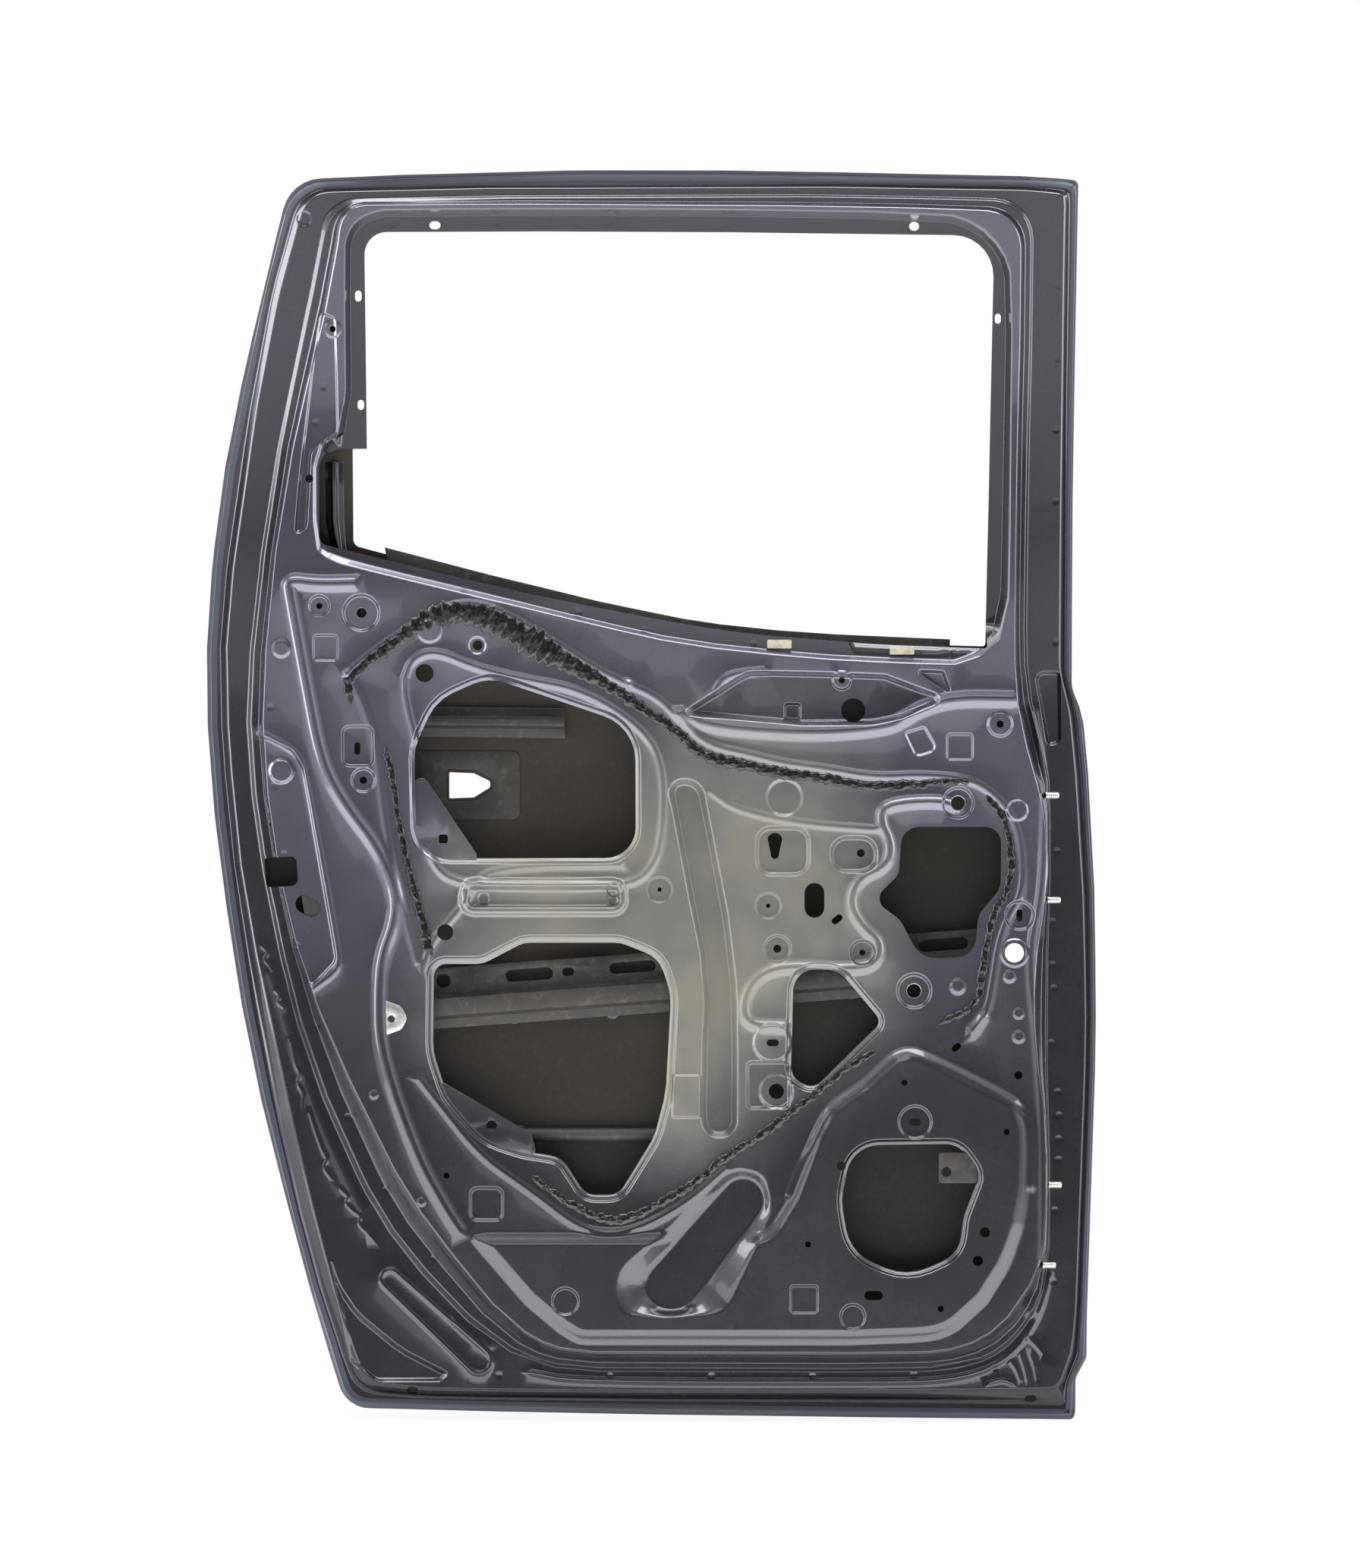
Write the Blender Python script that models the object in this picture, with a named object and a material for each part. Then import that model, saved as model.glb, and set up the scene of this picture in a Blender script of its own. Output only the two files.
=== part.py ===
"""Rear side door shell of a tall family car, seen from the cabin side.

A stamped inner panel with its window frame, an outer skin hemmed round it, and the
reinforcements, brackets, studs, weld nuts and sealing left on it once it is stripped.
Metres and +Z up. The cabin side faces -Y and the hinges are at +X. Sheet outlines are
written in millimetres from the middle of the door's foot, and every piece hangs from one
empty, so that the world's origin is on the hinge axis.
"""

import math

import bpy
from mathutils import Vector
from mathutils.geometry import delaunay_2d_cdt

MM = 0.001

# Sheet and clearances, mm
SHEET = 0.8
SKIN = 0.7
CLEARANCE = 0.3
SEAT = 0.6
HEM_WIDTH = 4.2

# Levels of the inner panel's terraces above the outer skin, mm
LAND_LEVEL = 16.0
SHELF_LEVEL = 25.0
MAIN_LEVEL = 50.0
PLATE_RISE = 7.0
BELT_LEVEL = 42.0

# Sealant above this height lies on a panel that bows, so it stands a little further off, mm
UPPER_BEAD_Z = 730.0
UPPER_BEAD_LIFT = 0.5
FLANGE_LIFT = 1.7
FRAME_SHARE = 0.58
FRAME_FOOT_Z = 800.0
FRAME_FULL_Z = 1040.0

# Body side: how far the skin leans in above and tucks in below its widest line, mm
WIDEST_Z = 550.0
LEAN = 92.0
LEAN_HEIGHT = 682.0
TUCK = 24.0
BOW = 7.0
HALF_WIDTH = 442.0

# The hinge axis, mm
HINGE_X = 415.0
HINGE_Z = 570.0
HINGE_LEVEL = 40.0

SMOOTH = 9999.0
FLATTEST_TURN = 5.0
LONGEST_RISE = 42.0

# Outlines as (x, z, corner radius) in mm. A radius of SMOOTH is as large as the corner takes.
DOOR_EDGE = [
    (-353, 1222, 40), (-163, 1230.5, SMOOTH), (5, 1232, SMOOTH), (137, 1230.5, SMOOTH), (382, 1225, SMOOTH),
    (419.6, 1221, 6), (417.8, 909, SMOOTH), (418, 724.5, 30), (429, 698, 60), (440, 582, SMOOTH),
    (442.2, 424.5, SMOOTH), (442.2, 369, SMOOTH), (437.6, 241.5, SMOOTH), (432, 91, SMOOTH), (432, 61, 12),
    (421, 40.5, 12), (420.4, 7.5, 4), (418.6, 0, 5), (227, 1.5, SMOOTH), (-73, 5, SMOOTH),
    (-255, 10, SMOOTH),
    (-302, 11, 45), (-329.6, 98, SMOOTH), (-349, 166.5, SMOOTH), (-370, 247, SMOOTH), (-399, 361.5, SMOOTH),
    (-414.7, 460, SMOOTH), (-428, 546, SMOOTH), (-438.4, 643, SMOOTH), (-442, 726, SMOOTH),
    (-439.5, 801, SMOOTH),
    (-428.6, 902, SMOOTH), (-413.6, 984, SMOOTH), (-381.4, 1117.5, SMOOTH), (-361.9, 1188.4, SMOOTH),
]
HEM_FOOT = [
    (-344, 1213, 36), (5, 1221.5, SMOOTH), (380, 1215, SMOOTH), (413, 1213, 8), (411.8, 909, SMOOTH),
    (411.8, 733, 30), (422.6, 696, 60), (433.8, 579, SMOOTH), (436, 424.5, SMOOTH), (436, 369, SMOOTH),
    (431.3, 241.5, SMOOTH), (425.6, 99, SMOOTH), (423.5, 64, 12), (412, 37, 10), (411, 14, 5),
    (227, 16.5, SMOOTH),
    (-73, 17.5, SMOOTH), (-253, 21, SMOOTH), (-293, 27, 40), (-320, 98, SMOOTH), (-340, 166.5, SMOOTH),
    (-361, 247, SMOOTH), (-384, 354, SMOOTH), (-409, 504, SMOOTH), (-421, 594, SMOOTH), (-430, 726, SMOOTH),
    (-427, 804, SMOOTH), (-412.5, 909, SMOOTH), (-389.5, 1053, SMOOTH), (-364, 1156, SMOOTH),
]
LAND_EDGE = [
    (-334, 1208, 30), (5, 1216.5, SMOOTH), (378, 1210, SMOOTH), (404, 1205, 8), (404, 909, SMOOTH),
    (403.5, 745, 30), (414, 700, 60), (426, 579, SMOOTH), (430, 424.5, SMOOTH), (430, 369, SMOOTH),
    (425, 241.5, SMOOTH), (419, 99, SMOOTH), (414, 66, 14), (402, 33, 14), (227, 30, SMOOTH),
    (-73, 30, SMOOTH), (-240, 33, SMOOTH), (-281, 40, 38), (-304, 98, SMOOTH), (-322, 166.5, SMOOTH),
    (-343, 247, SMOOTH), (-366, 354, SMOOTH), (-399, 504, SMOOTH), (-411, 594, SMOOTH), (-420, 726, SMOOTH),
    (-417, 804, SMOOTH), (-401.6, 909, SMOOTH), (-377.6, 1053, SMOOTH), (-353, 1149, SMOOTH),
]
SHELF_FOOT = [
    (-320, 1204, 42), (5, 1210.5, SMOOTH), (300, 1206, SMOOTH), (376, 1203, 52), (377.5, 1104, SMOOTH),
    (374, 909, SMOOTH), (373, 766, SMOOTH), (375, 729, SMOOTH), (382, 691, SMOOTH), (394, 650, SMOOTH),
    (396.5, 616, SMOOTH), (396.5, 522, SMOOTH), (394.5, 483, SMOOTH), (393.5, 369, SMOOTH),
    (393.5, 324, SMOOTH),
    (395.5, 279, SMOOTH), (395.5, 204, SMOOTH), (395, 150, SMOOTH), (383, 108, SMOOTH), (350, 66, SMOOTH),
    (303, 49, SMOOTH), (227, 47, SMOOTH), (-73, 48, SMOOTH), (-118, 56, SMOOTH), (-163, 80, SMOOTH),
    (-208, 121, SMOOTH), (-246, 166, SMOOTH), (-274, 204, SMOOTH), (-311, 279, SMOOTH),
    (-341.5, 354, SMOOTH),
    (-362.5, 429, SMOOTH), (-379, 504, SMOOTH), (-393, 579, SMOOTH), (-401, 654, SMOOTH),
    (-403, 726, SMOOTH),
    (-393, 804, SMOOTH), (-381, 909, SMOOTH), (-351, 1053, SMOOTH), (-331, 1141, SMOOTH),
]
SHELF_EDGE = [
    (-311, 1197, 38), (5, 1206, SMOOTH), (298, 1201, SMOOTH), (371, 1198, 50), (372.5, 1104, SMOOTH),
    (369, 909, SMOOTH), (368, 766, SMOOTH), (370, 729, SMOOTH), (378, 690, SMOOTH), (390.5, 649, SMOOTH),
    (394.5, 616, SMOOTH), (395, 522, SMOOTH), (391.5, 483, SMOOTH), (389.5, 369, SMOOTH),
    (391, 324, SMOOTH),
    (394, 279, SMOOTH), (394, 204, SMOOTH), (392, 151, SMOOTH), (379, 111, SMOOTH), (347, 71, SMOOTH),
    (301, 54.5, SMOOTH), (227, 52, SMOOTH), (-73, 53, SMOOTH), (-115, 61, SMOOTH), (-158, 85, SMOOTH),
    (-201, 126, SMOOTH), (-239, 170, SMOOTH), (-267, 208, SMOOTH), (-303, 282, SMOOTH), (-334, 357, SMOOTH),
    (-355, 431, SMOOTH), (-371.5, 504, SMOOTH), (-385, 579, SMOOTH), (-393, 654, SMOOTH),
    (-395, 726, SMOOTH),
    (-385.5, 804, SMOOTH), (-374, 909, SMOOTH), (-343, 1053, SMOOTH), (-323, 1137, SMOOTH),
]
MAIN_FOOT = [
    (-308, 1200, 34), (5, 1202.5, SMOOTH), (297, 1197.5, SMOOTH), (368, 1194, 48), (369.5, 1104, SMOOTH),
    (366, 909, SMOOTH), (365, 766, SMOOTH), (367, 729, SMOOTH), (374, 687, SMOOTH), (387, 646, SMOOTH),
    (392, 616, SMOOTH), (393.8, 522, SMOOTH), (389, 483, SMOOTH), (386.5, 369, SMOOTH), (389, 324, SMOOTH),
    (392.6, 279, SMOOTH), (392.6, 204, SMOOTH), (389, 152, SMOOTH), (376, 113, SMOOTH), (344, 75, SMOOTH),
    (299, 58.5, SMOOTH), (227, 56, SMOOTH), (-73, 57, SMOOTH), (-112, 65, SMOOTH), (-152, 89, SMOOTH),
    (-190, 131, SMOOTH), (-227, 176, SMOOTH), (-255, 213, SMOOTH), (-291, 285, SMOOTH), (-323, 360, SMOOTH),
    (-346, 433, SMOOTH), (-365, 504, SMOOTH), (-379, 579, SMOOTH), (-388, 654, SMOOTH), (-390, 726, SMOOTH),
    (-381, 804, SMOOTH), (-370, 909, SMOOTH), (-339, 1053, SMOOTH), (-319, 1133, SMOOTH),
]
MAIN_EDGE = [
    (-300, 1194.5, 26), (5, 1196.5, SMOOTH), (294, 1191, SMOOTH), (361, 1187, 44), (362.5, 1104, SMOOTH),
    (359, 909, SMOOTH), (358, 766, SMOOTH), (359, 729, SMOOTH), (364, 685, SMOOTH), (376, 644, SMOOTH),
    (385, 612, SMOOTH), (391, 575, SMOOTH), (391.5, 522, SMOOTH), (383, 483, SMOOTH), (377.5, 440, SMOOTH),
    (377.5, 369, SMOOTH), (386, 324, SMOOTH), (390, 285, SMOOTH), (390, 204, SMOOTH), (382, 154, SMOOTH),
    (364, 120, SMOOTH), (335, 88, SMOOTH), (296, 72, SMOOTH), (227, 70, SMOOTH), (-73, 71, SMOOTH),
    (-105, 79, SMOOTH),
    (-141, 102, SMOOTH), (-176, 143, SMOOTH), (-211, 188, SMOOTH), (-239, 226, SMOOTH), (-276, 297, SMOOTH),
    (-312, 372, SMOOTH), (-339, 438, SMOOTH), (-359, 504, SMOOTH), (-373, 579, SMOOTH), (-381, 654, SMOOTH),
    (-382, 726, SMOOTH), (-374, 804, SMOOTH), (-363, 909, SMOOTH), (-329, 1053, SMOOTH),
    (-308, 1127, SMOOTH),
]

# The window side: the aperture's flange, then the cut-back corner that the run channel
# enters, then the belt.
APERTURE = [
    (-281.6, 1172, 22), (-12, 1173.3, SMOOTH), (338, 1168.5, 40), (334.6, 909, SMOOTH), (332, 763, 3),
    (271, 765, SMOOTH), (170, 770, SMOOTH), (69, 781, SMOOTH), (32, 787, SMOOTH), (-66, 805.5, SMOOTH),
    (-167, 827, SMOOTH), (-248, 847.5, SMOOTH), (-326.6, 866, 10), (-326.6, 961, 24), (-281, 961, 1),
]
FLANGE_FOOT = [
    (-295.5, 972), (-295.5, 1152), (-292.5, 1166), (-285, 1177), (-272, 1184), (-256, 1187), (5, 1188),
    (285, 1183.5),
    (318, 1173), (341, 1150), (350, 1122), (348, 909), (346, 790),
]
FRAME_EDGE = [
    (-301, 968), (-301, 1152.5), (-297.6, 1168.6), (-288.7, 1181.4), (-273.8, 1189.3), (-256, 1192.5),
    (5, 1193.2), (288, 1189),
    (322, 1178), (346, 1154), (356, 1124), (355, 909), (353, 780),
]
BELT_RIDGE = [(-318, 848), (-268, 835.5), (-161, 810), (-53, 784), (32, 765), (153, 752), (247, 747),
    (318, 745.5)]
BELT_FOOT = [(-312, 856), (-262, 842.5), (-158, 817.5), (-51, 791.5), (33, 772.5), (153, 759.5),
    (247, 754.5), (316, 752.5)]
CAVITY_RIM = [(-331, 858), (-331.5, 966)]

# Cut-outs of the inner panel
HOLE_UPPER = [
    (-231, 556, 34), (-15, 556, 30), (-15.5, 686, 46), (-160, 735, 45), (-212, 712, 50), (-233.5, 665, 50),
]
HOLE_LOWER = [
    (-214, 451.5, 12), (-166, 451.5, 25), (-125.6, 472.5, 25), (-30, 472.5, 30), (8, 457.5, 30),
    (20, 421.5, 60),
    (14.7, 324, 80), (3.4, 281, 40), (-32, 224, 18), (-64, 224, 18), (-88, 261, 25), (-125.6, 267, 30),
    (-163, 279, 60), (-200.6, 322, 60), (-214.8, 365, 60),
]
HOLE_WIRING = [
    (248, 587, 18), (346, 587, 16), (345.4, 526.5, 20), (323, 500, 25), (320, 457.5, 22), (266, 457.5, 25),
    (246.4, 495, 18), (219.4, 515, 12), (245, 540, 15),
]
HOLE_TRIANGLE = [(141.4, 447, 22), (185.6, 445.5, 25), (228.4, 394.5, 10), (161, 328.5, 14),
    (138.4, 339, 18)]
HOLE_SPEAKER = [
    (198.4, 273, 45), (303.4, 274.5, 25), (324.4, 245, 20), (308, 202.5, 30), (303.4, 166.5, 30),
    (253, 144, 55),
    (197, 166.5, 45), (188, 219, 60),
]
LATCH_MOUTH = [(-383, 556, 3), (-350, 558, 6), (-348, 529, 7), (-381, 527, 3)]
LIP_WIDTH = 6.0
LIP_HEIGHT = 3.0

# Raised and sunk forms of the inner panel: outline at its foot, wall width, rise and base level
LOWER_PLATE = [
    (-186, 186, 16), (-152, 146, SMOOTH), (-110, 102, SMOOTH), (-72, 79, 30), (227, 79, SMOOTH),
    (290, 84, SMOOTH),
    (320, 102, SMOOTH), (346, 132, SMOOTH), (372, 190, SMOOTH), (378, 250, SMOOTH), (376, 292, 20),
    (366, 322, 20), (262, 374, 30), (238, 368, 30), (208, 340, 20), (172, 315, 20), (156, 285, 20),
    (136, 195, 10), (126, 178, 10), (-160, 190, 20),
]
OBLONG_RIM = [
    (83, 253, 22), (114, 246, 20), (122, 208, 30), (76, 106, 30), (10, 103, 35), (-38, 106, 25),
    (-35, 150, 40),
    (20, 196, 60), (55, 232, SMOOTH),
]
OBLONG_TOP = (91.0, 219.7, 19.0)
OBLONG_FOOT = (20.6, 135.0, 23.0)
OBLONG_DEPTH = 15.0
CHANNEL = [
    (13, 636, 26), (52, 636, 22), (84.6, 468, SMOOTH), (88, 400, SMOOTH), (87.5, 278, 26), (48, 278, 24),
    (47, 345, SMOOTH), (52, 438, SMOOTH), (41, 487, SMOOTH),
]
UPPER_POCKET = [
    (32, 703, 8), (96, 743, 14), (190, 741, SMOOTH), (232, 739, 8), (299, 714, 8), (250, 690, SMOOTH),
    (182, 682.5, SMOOTH), (107, 690, SMOOTH), (36, 695, 6),
]
OVAL_BEAD = [(-191.6, 539, 18), (-20, 539, 18), (-20, 497, 18), (-191.6, 497, 18)]
LATCH_PAD = [
    (-386, 680, 6), (-352, 664, 12), (-341, 645, 12), (-308, 455, 14), (-333, 428, 8), (-366, 446, 8),
    (-378, 560, SMOOTH),
]
PILLAR_RECESS = [
    (-326, 1095, 6), (-308, 1088, 8), (-306, 975, 8), (-333, 955, 8), (-337, 880, 12), (-352, 872, 12),
    (-350, 905, SMOOTH), (-341, 990, SMOOTH),
]


def skin_y(x, z):
    """The inner side of the outer skin: a barrel that leans in above its widest line."""
    rise = z - WIDEST_Z
    lean = -LEAN * (rise / LEAN_HEIGHT) ** 2 if rise > 0 else -TUCK * (rise / WIDEST_Z) ** 2
    return lean - BOW * (x / HALF_WIDTH) ** 2


def frame_share(z):
    """How much of each level the slimmer window frame keeps at this height."""
    t = min(max((z - FRAME_FOOT_Z) / (FRAME_FULL_Z - FRAME_FOOT_Z), 0.0), 1.0)
    return 1.0 - (1.0 - FRAME_SHARE) * t * t * (3.0 - 2.0 * t)


def rounded(corners, step=20.0):
    """The outline's points, with each corner turned into an arc of at most step degrees a side."""
    points = []
    for i, (x, z, radius) in enumerate(corners):
        corner = Vector((x, z))
        back = Vector(corners[i - 1][:2]) - corner
        ahead = Vector(corners[(i + 1) % len(corners)][:2]) - corner
        turn = math.pi - back.angle(ahead)
        if turn < math.radians(FLATTEST_TURN) or radius <= 0:
            points.append((x, z))
            continue
        reach = 0.47 * min(back.length, ahead.length)
        run = min(radius * math.tan(turn / 2), reach)
        radius = run / math.tan(turn / 2)
        back.normalize()
        ahead.normalize()
        middle = corner + (back + ahead).normalized() * (radius / math.cos(turn / 2))
        start = corner + back * run - middle
        end = corner + ahead * run - middle
        sides = max(1, math.ceil(math.degrees(turn) / step))
        for k in range(sides + 1):
            a = math.sin(turn * (1 - k / sides)) / math.sin(turn)
            b = math.sin(turn * k / sides) / math.sin(turn)
            point = middle + start * a + end * b
            points.append((point.x, point.y))
    return points


def split(points, closed=True, like=None):
    """The same line with no stretch that climbs further than the curved skin allows.

    A line like another one, with as many points, is divided where that one is."""
    found = []
    like = like or points
    for i, (x, z) in enumerate(points):
        found.append((x, z))
        if i + 1 == len(points) and not closed:
            break
        x2, z2 = points[(i + 1) % len(points)]
        parts = max(1, math.ceil(abs(like[(i + 1) % len(points)][1] - like[i][1]) / LONGEST_RISE))
        found += [(x + (x2 - x) * k / parts, z + (z2 - z) * k / parts) for k in range(1, parts)]
    return found


def inset(corners, width):
    """The same outline moved inwards by this width, or outwards if it is negative."""
    area = sum(
        corners[i - 1][0] * corners[i][1] - corners[i][0] * corners[i - 1][1] for i in range(len(corners))
    )
    side = 1.0 if area > 0 else -1.0
    moved = []
    for i, (x, z, radius) in enumerate(corners):
        before = Vector(corners[i - 1][:2])
        after = Vector(corners[(i + 1) % len(corners)][:2])
        corner = Vector((x, z))
        one = (corner - before).normalized()
        two = (after - corner).normalized()
        normal_one = Vector((-one.y, one.x)) * side
        normal_two = Vector((-two.y, two.x)) * side
        middle = normal_one + normal_two
        middle *= 2 * width / middle.length_squared
        convex = (one.x * two.y - one.y * two.x) * side > 0
        if radius != SMOOTH:
            radius = max(radius - width, 0.4) if convex else max(radius + width, 0.4)
        moved.append((x + middle.x, z + middle.y, radius))
    return moved


def box_outline(x, z, width, height, radius, tilt=0.0):
    """A rounded rectangle, tilted by this many degrees."""
    c = math.cos(math.radians(tilt))
    s = math.sin(math.radians(tilt))
    return [
        (x + c * u * width / 2 - s * v * height / 2, z + s * u * width / 2 + c * v * height / 2, radius)
        for u, v in ((-1, -1), (1, -1), (1, 1), (-1, 1))
    ]


def slot_outline(x, z, length, width, tilt=0.0):
    return box_outline(x, z, length, width, width / 2 - 0.01, tilt)


def circle(x, z, radius, sides=12):
    return [
        (x + radius * math.cos(2 * math.pi * k / sides), z + radius * math.sin(2 * math.pi * k / sides))
        for k in range(sides)
    ]


def capsule(first, second, sides=6):
    """The outline round two circles, each (x, z, radius), that a pair of tangents joins."""
    (x1, z1, r1), (x2, z2, r2) = first, second
    along = math.atan2(z1 - z2, x1 - x2)
    lean = math.acos((r2 - r1) / math.hypot(x1 - x2, z1 - z2))
    points = []
    for k in range(sides + 1):
        angle = along - lean + 2 * lean * k / sides
        points.append((x1 + r1 * math.cos(angle), z1 + r1 * math.sin(angle)))
    for k in range(sides + 1):
        angle = along + lean + (2 * math.pi - 2 * lean) * k / sides
        points.append((x2 + r2 * math.cos(angle), z2 + r2 * math.sin(angle)))
    return points


def inside(point, outline):
    x, z = point
    found = False
    for i in range(len(outline)):
        (x1, z1), (x2, z2) = outline[i - 1], outline[i]
        if (z1 > z) != (z2 > z) and x < (x2 - x1) * (z - z1) / (z2 - z1) + x1:
            found = not found
    return found


class Stamping:
    """A sheet drawn as lines of one level each, with the faces between them stretched flat."""

    def __init__(self, border, border_level=0.0):
        self.points = []
        self.levels = []
        self.edges = []
        self.border = border
        self.cuts = []
        self.line(border, border_level)

    def line(self, points, level, closed=True):
        first = len(self.points)
        for x, z in points:
            self.points.append((x, z))
            self.levels.append(level(x, z) if callable(level) else level)
        count = len(points)
        for k in range(count if closed else count - 1):
            self.edges.append((first + k, first + (k + 1) % count))

    def form(self, corners, wall, rise, base):
        """A raised or sunk form: its foot at the base level and its face a wall's width inside."""
        self.line(rounded(corners), base)
        self.line(rounded(inset(corners, wall)), base + rise)

    def boss(self, x, z, foot, top, rise, base, hole=0.0, sides=12):
        self.line(circle(x, z, foot, sides), base)
        self.line(circle(x, z, top, sides), base + rise)
        if hole:
            self.cut(circle(x, z, hole, 10))

    def cut(self, points, level=None):
        """A hole, at the level of the sheet round it unless its edge has one of its own."""
        self.cuts.append((points, level))

    def triangulate(self, points, levels, edges):
        made, _, faces, source, _, _ = delaunay_2d_cdt([Vector(p) for p in points], edges, [], 0, 1e-5)
        found = []
        for k, point in enumerate(made):
            known = [levels[i] for i in source[k] if levels[i] is not None]
            found.append(sum(known) / len(known) if known else None)
        return made, found, [tuple(f) for f in faces]

    def crossing_level(self, point, points, levels, edges):
        """The level where two lines cross: the mean of what each has there."""
        best = []
        for a, b in edges:
            if levels[a] is None or levels[b] is None:
                continue
            start, end = Vector(points[a]), Vector(points[b])
            span = end - start
            t = min(max((point - start).dot(span) / max(span.length_squared, 1e-9), 0), 1)
            gap = (start + span * t - point).length
            best.append((gap, levels[a] * (1 - t) + levels[b] * t))
        best.sort()
        near = [level for gap, level in best[:4] if gap < best[0][0] + 0.01]
        return sum(near) / len(near)

    def build(self, pitch):
        """Points with their levels and triangles, with a lattice of this pitch on the flats."""
        made, found, faces = self.triangulate(self.points, self.levels, self.edges)
        for k, level in enumerate(found):
            if level is None:
                found[k] = self.crossing_level(made[k], self.points, self.levels, self.edges)
        base = BaseSurface(made, found, faces)
        points, levels, edges = list(self.points), list(self.levels), list(self.edges)
        bounds = [(min(c), max(c)) for c in zip(*self.border)]
        columns = max(2, round((bounds[0][1] - bounds[0][0]) / pitch))
        rows = max(2, round((bounds[1][1] - bounds[1][0]) / pitch))
        cut_bounds = [outline for outline, _ in self.cuts]
        for i in range(1, columns):
            for j in range(1, rows):
                x = bounds[0][0] + (bounds[0][1] - bounds[0][0]) * (i + 0.5 * (j % 2)) / columns
                z = bounds[1][0] + (bounds[1][1] - bounds[1][0]) * j / rows
                spot = base.at(x, z)
                if spot is None or not spot[1] or not inside((x, z), self.border):
                    continue
                if any(inside((x, z), outline) for outline in cut_bounds):
                    continue
                if min((px - x) ** 2 + (pz - z) ** 2 for px, pz in points) < (0.22 * pitch) ** 2:
                    continue
                points.append((x, z))
                levels.append(spot[0])
        for outline, level in self.cuts:
            first = len(points)
            for x, z in outline:
                points.append((x, z))
                levels.append(level(x, z) if callable(level) else level)
            edges += [(first + k, first + (k + 1) % len(outline)) for k in range(len(outline))]
        made, found, faces = self.triangulate(points, levels, edges)
        for k, level in enumerate(found):
            if level is None:
                spot = base.at(made[k].x, made[k].y)
                found[k] = spot[0] if spot else 0.0
        kept, slivers, across = [], [], {}
        for face in faces:
            sides = [(face[i - 1], face[i]) for i in range(3)]
            longest = max(sides, key=lambda side: (made[side[0]] - made[side[1]]).length)
            a, b, c = (made[i] for i in face)
            area = abs((b - a).cross(c - a))
            if area < 0.02 * (made[longest[0]] - made[longest[1]]).length:
                slivers.append((face, longest))
                continue
            x, z = (a.x + b.x + c.x) / 3, (a.y + b.y + c.y) / 3
            if inside((x, z), self.border) and not any(inside((x, z), outline) for outline in cut_bounds):
                kept.append(face)
                for side in sides:
                    across[side] = True
        # A sliver on a border belongs to the sheet when the face over its longest side does.
        for face, (start, end) in slivers:
            if (end, start) in across:
                kept.append(face)
        return made, found, kept


class BaseSurface:
    """The level at any point of a triangulated sheet."""

    def __init__(self, points, levels, faces):
        self.faces = []
        for face in faces:
            corners = [points[i] for i in face]
            self.faces.append((
                min(c.x for c in corners), max(c.x for c in corners),
                min(c.y for c in corners), max(c.y for c in corners),
                corners, [levels[i] for i in face],
            ))

    def at(self, x, z):
        """(level, whether the face is flat) at this point, or None outside the sheet."""
        for low_x, high_x, low_z, high_z, (a, b, c), levels in self.faces:
            if not (low_x - 1e-6 <= x <= high_x + 1e-6 and low_z - 1e-6 <= z <= high_z + 1e-6):
                continue
            area = (b.x - a.x) * (c.y - a.y) - (c.x - a.x) * (b.y - a.y)
            if abs(area) < 1e-9:
                continue
            u = ((b.x - x) * (c.y - z) - (c.x - x) * (b.y - z)) / area
            v = ((c.x - x) * (a.y - z) - (a.x - x) * (c.y - z)) / area
            w = 1 - u - v
            if min(u, v, w) > -1e-6:
                level = u * levels[0] + v * levels[1] + w * levels[2]
                return level, max(levels) - min(levels) < 0.01
        return None


def material(name, colour, roughness, metallic=0.0):
    made = bpy.data.materials.new(name)
    made.use_nodes = True
    shader = made.node_tree.nodes["Principled BSDF"]
    shader.inputs["Base Color"].default_value = (*colour, 1.0)
    shader.inputs["Roughness"].default_value = roughness
    shader.inputs["Metallic"].default_value = metallic
    made.diffuse_color = (*colour, 1.0)
    return made


def add_object(name, vertices, faces, root, look, thickness=0.0, sharp=35.0):
    """A named mesh object in metres under the door's empty, thickened away from its normals."""
    mesh = bpy.data.meshes.new(name)
    mesh.from_pydata([(x * MM, y * MM, z * MM) for x, y, z in vertices], [], faces)
    mesh.validate()
    mesh.materials.append(look)
    mesh.shade_smooth()
    mesh.set_sharp_from_angle(angle=math.radians(sharp))
    made = bpy.data.objects.new(name, mesh)
    bpy.context.scene.collection.objects.link(made)
    made.parent = root
    if thickness:
        solid = made.modifiers.new("sheet", "SOLIDIFY")
        solid.thickness = thickness * MM
        solid.offset = -1.0
        solid.use_even_offset = True
        solid.use_quality_normals = True
        solid.thickness_clamp = 0.0
    return made


def drop_loose(vertices, faces):
    """Only the vertices that a face uses."""
    used = sorted({i for face in faces for i in face})
    place = {old: new for new, old in enumerate(used)}
    return [vertices[i] for i in used], [tuple(place[i] for i in face) for face in faces]


def facing(vertices, face, sign):
    """The face's corners in the order that turns its normal to this side along Y."""
    a, b, c = (Vector(vertices[i]) for i in face[:3])
    return face if (b - a).cross(c - a).y * sign > 0 else tuple(reversed(face))


def cut_from(target, cutters):
    """Boolean cuts, by objects that stay in the file as hidden wires."""
    for cutter in cutters:
        cutter.hide_render = True
        cutter.display_type = "WIRE"
        cutter.parent = target.parent
        change = target.modifiers.new("cut " + cutter.name, "BOOLEAN")
        change.operation = "DIFFERENCE"
        change.solver = "EXACT"
        change.object = cutter


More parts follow.
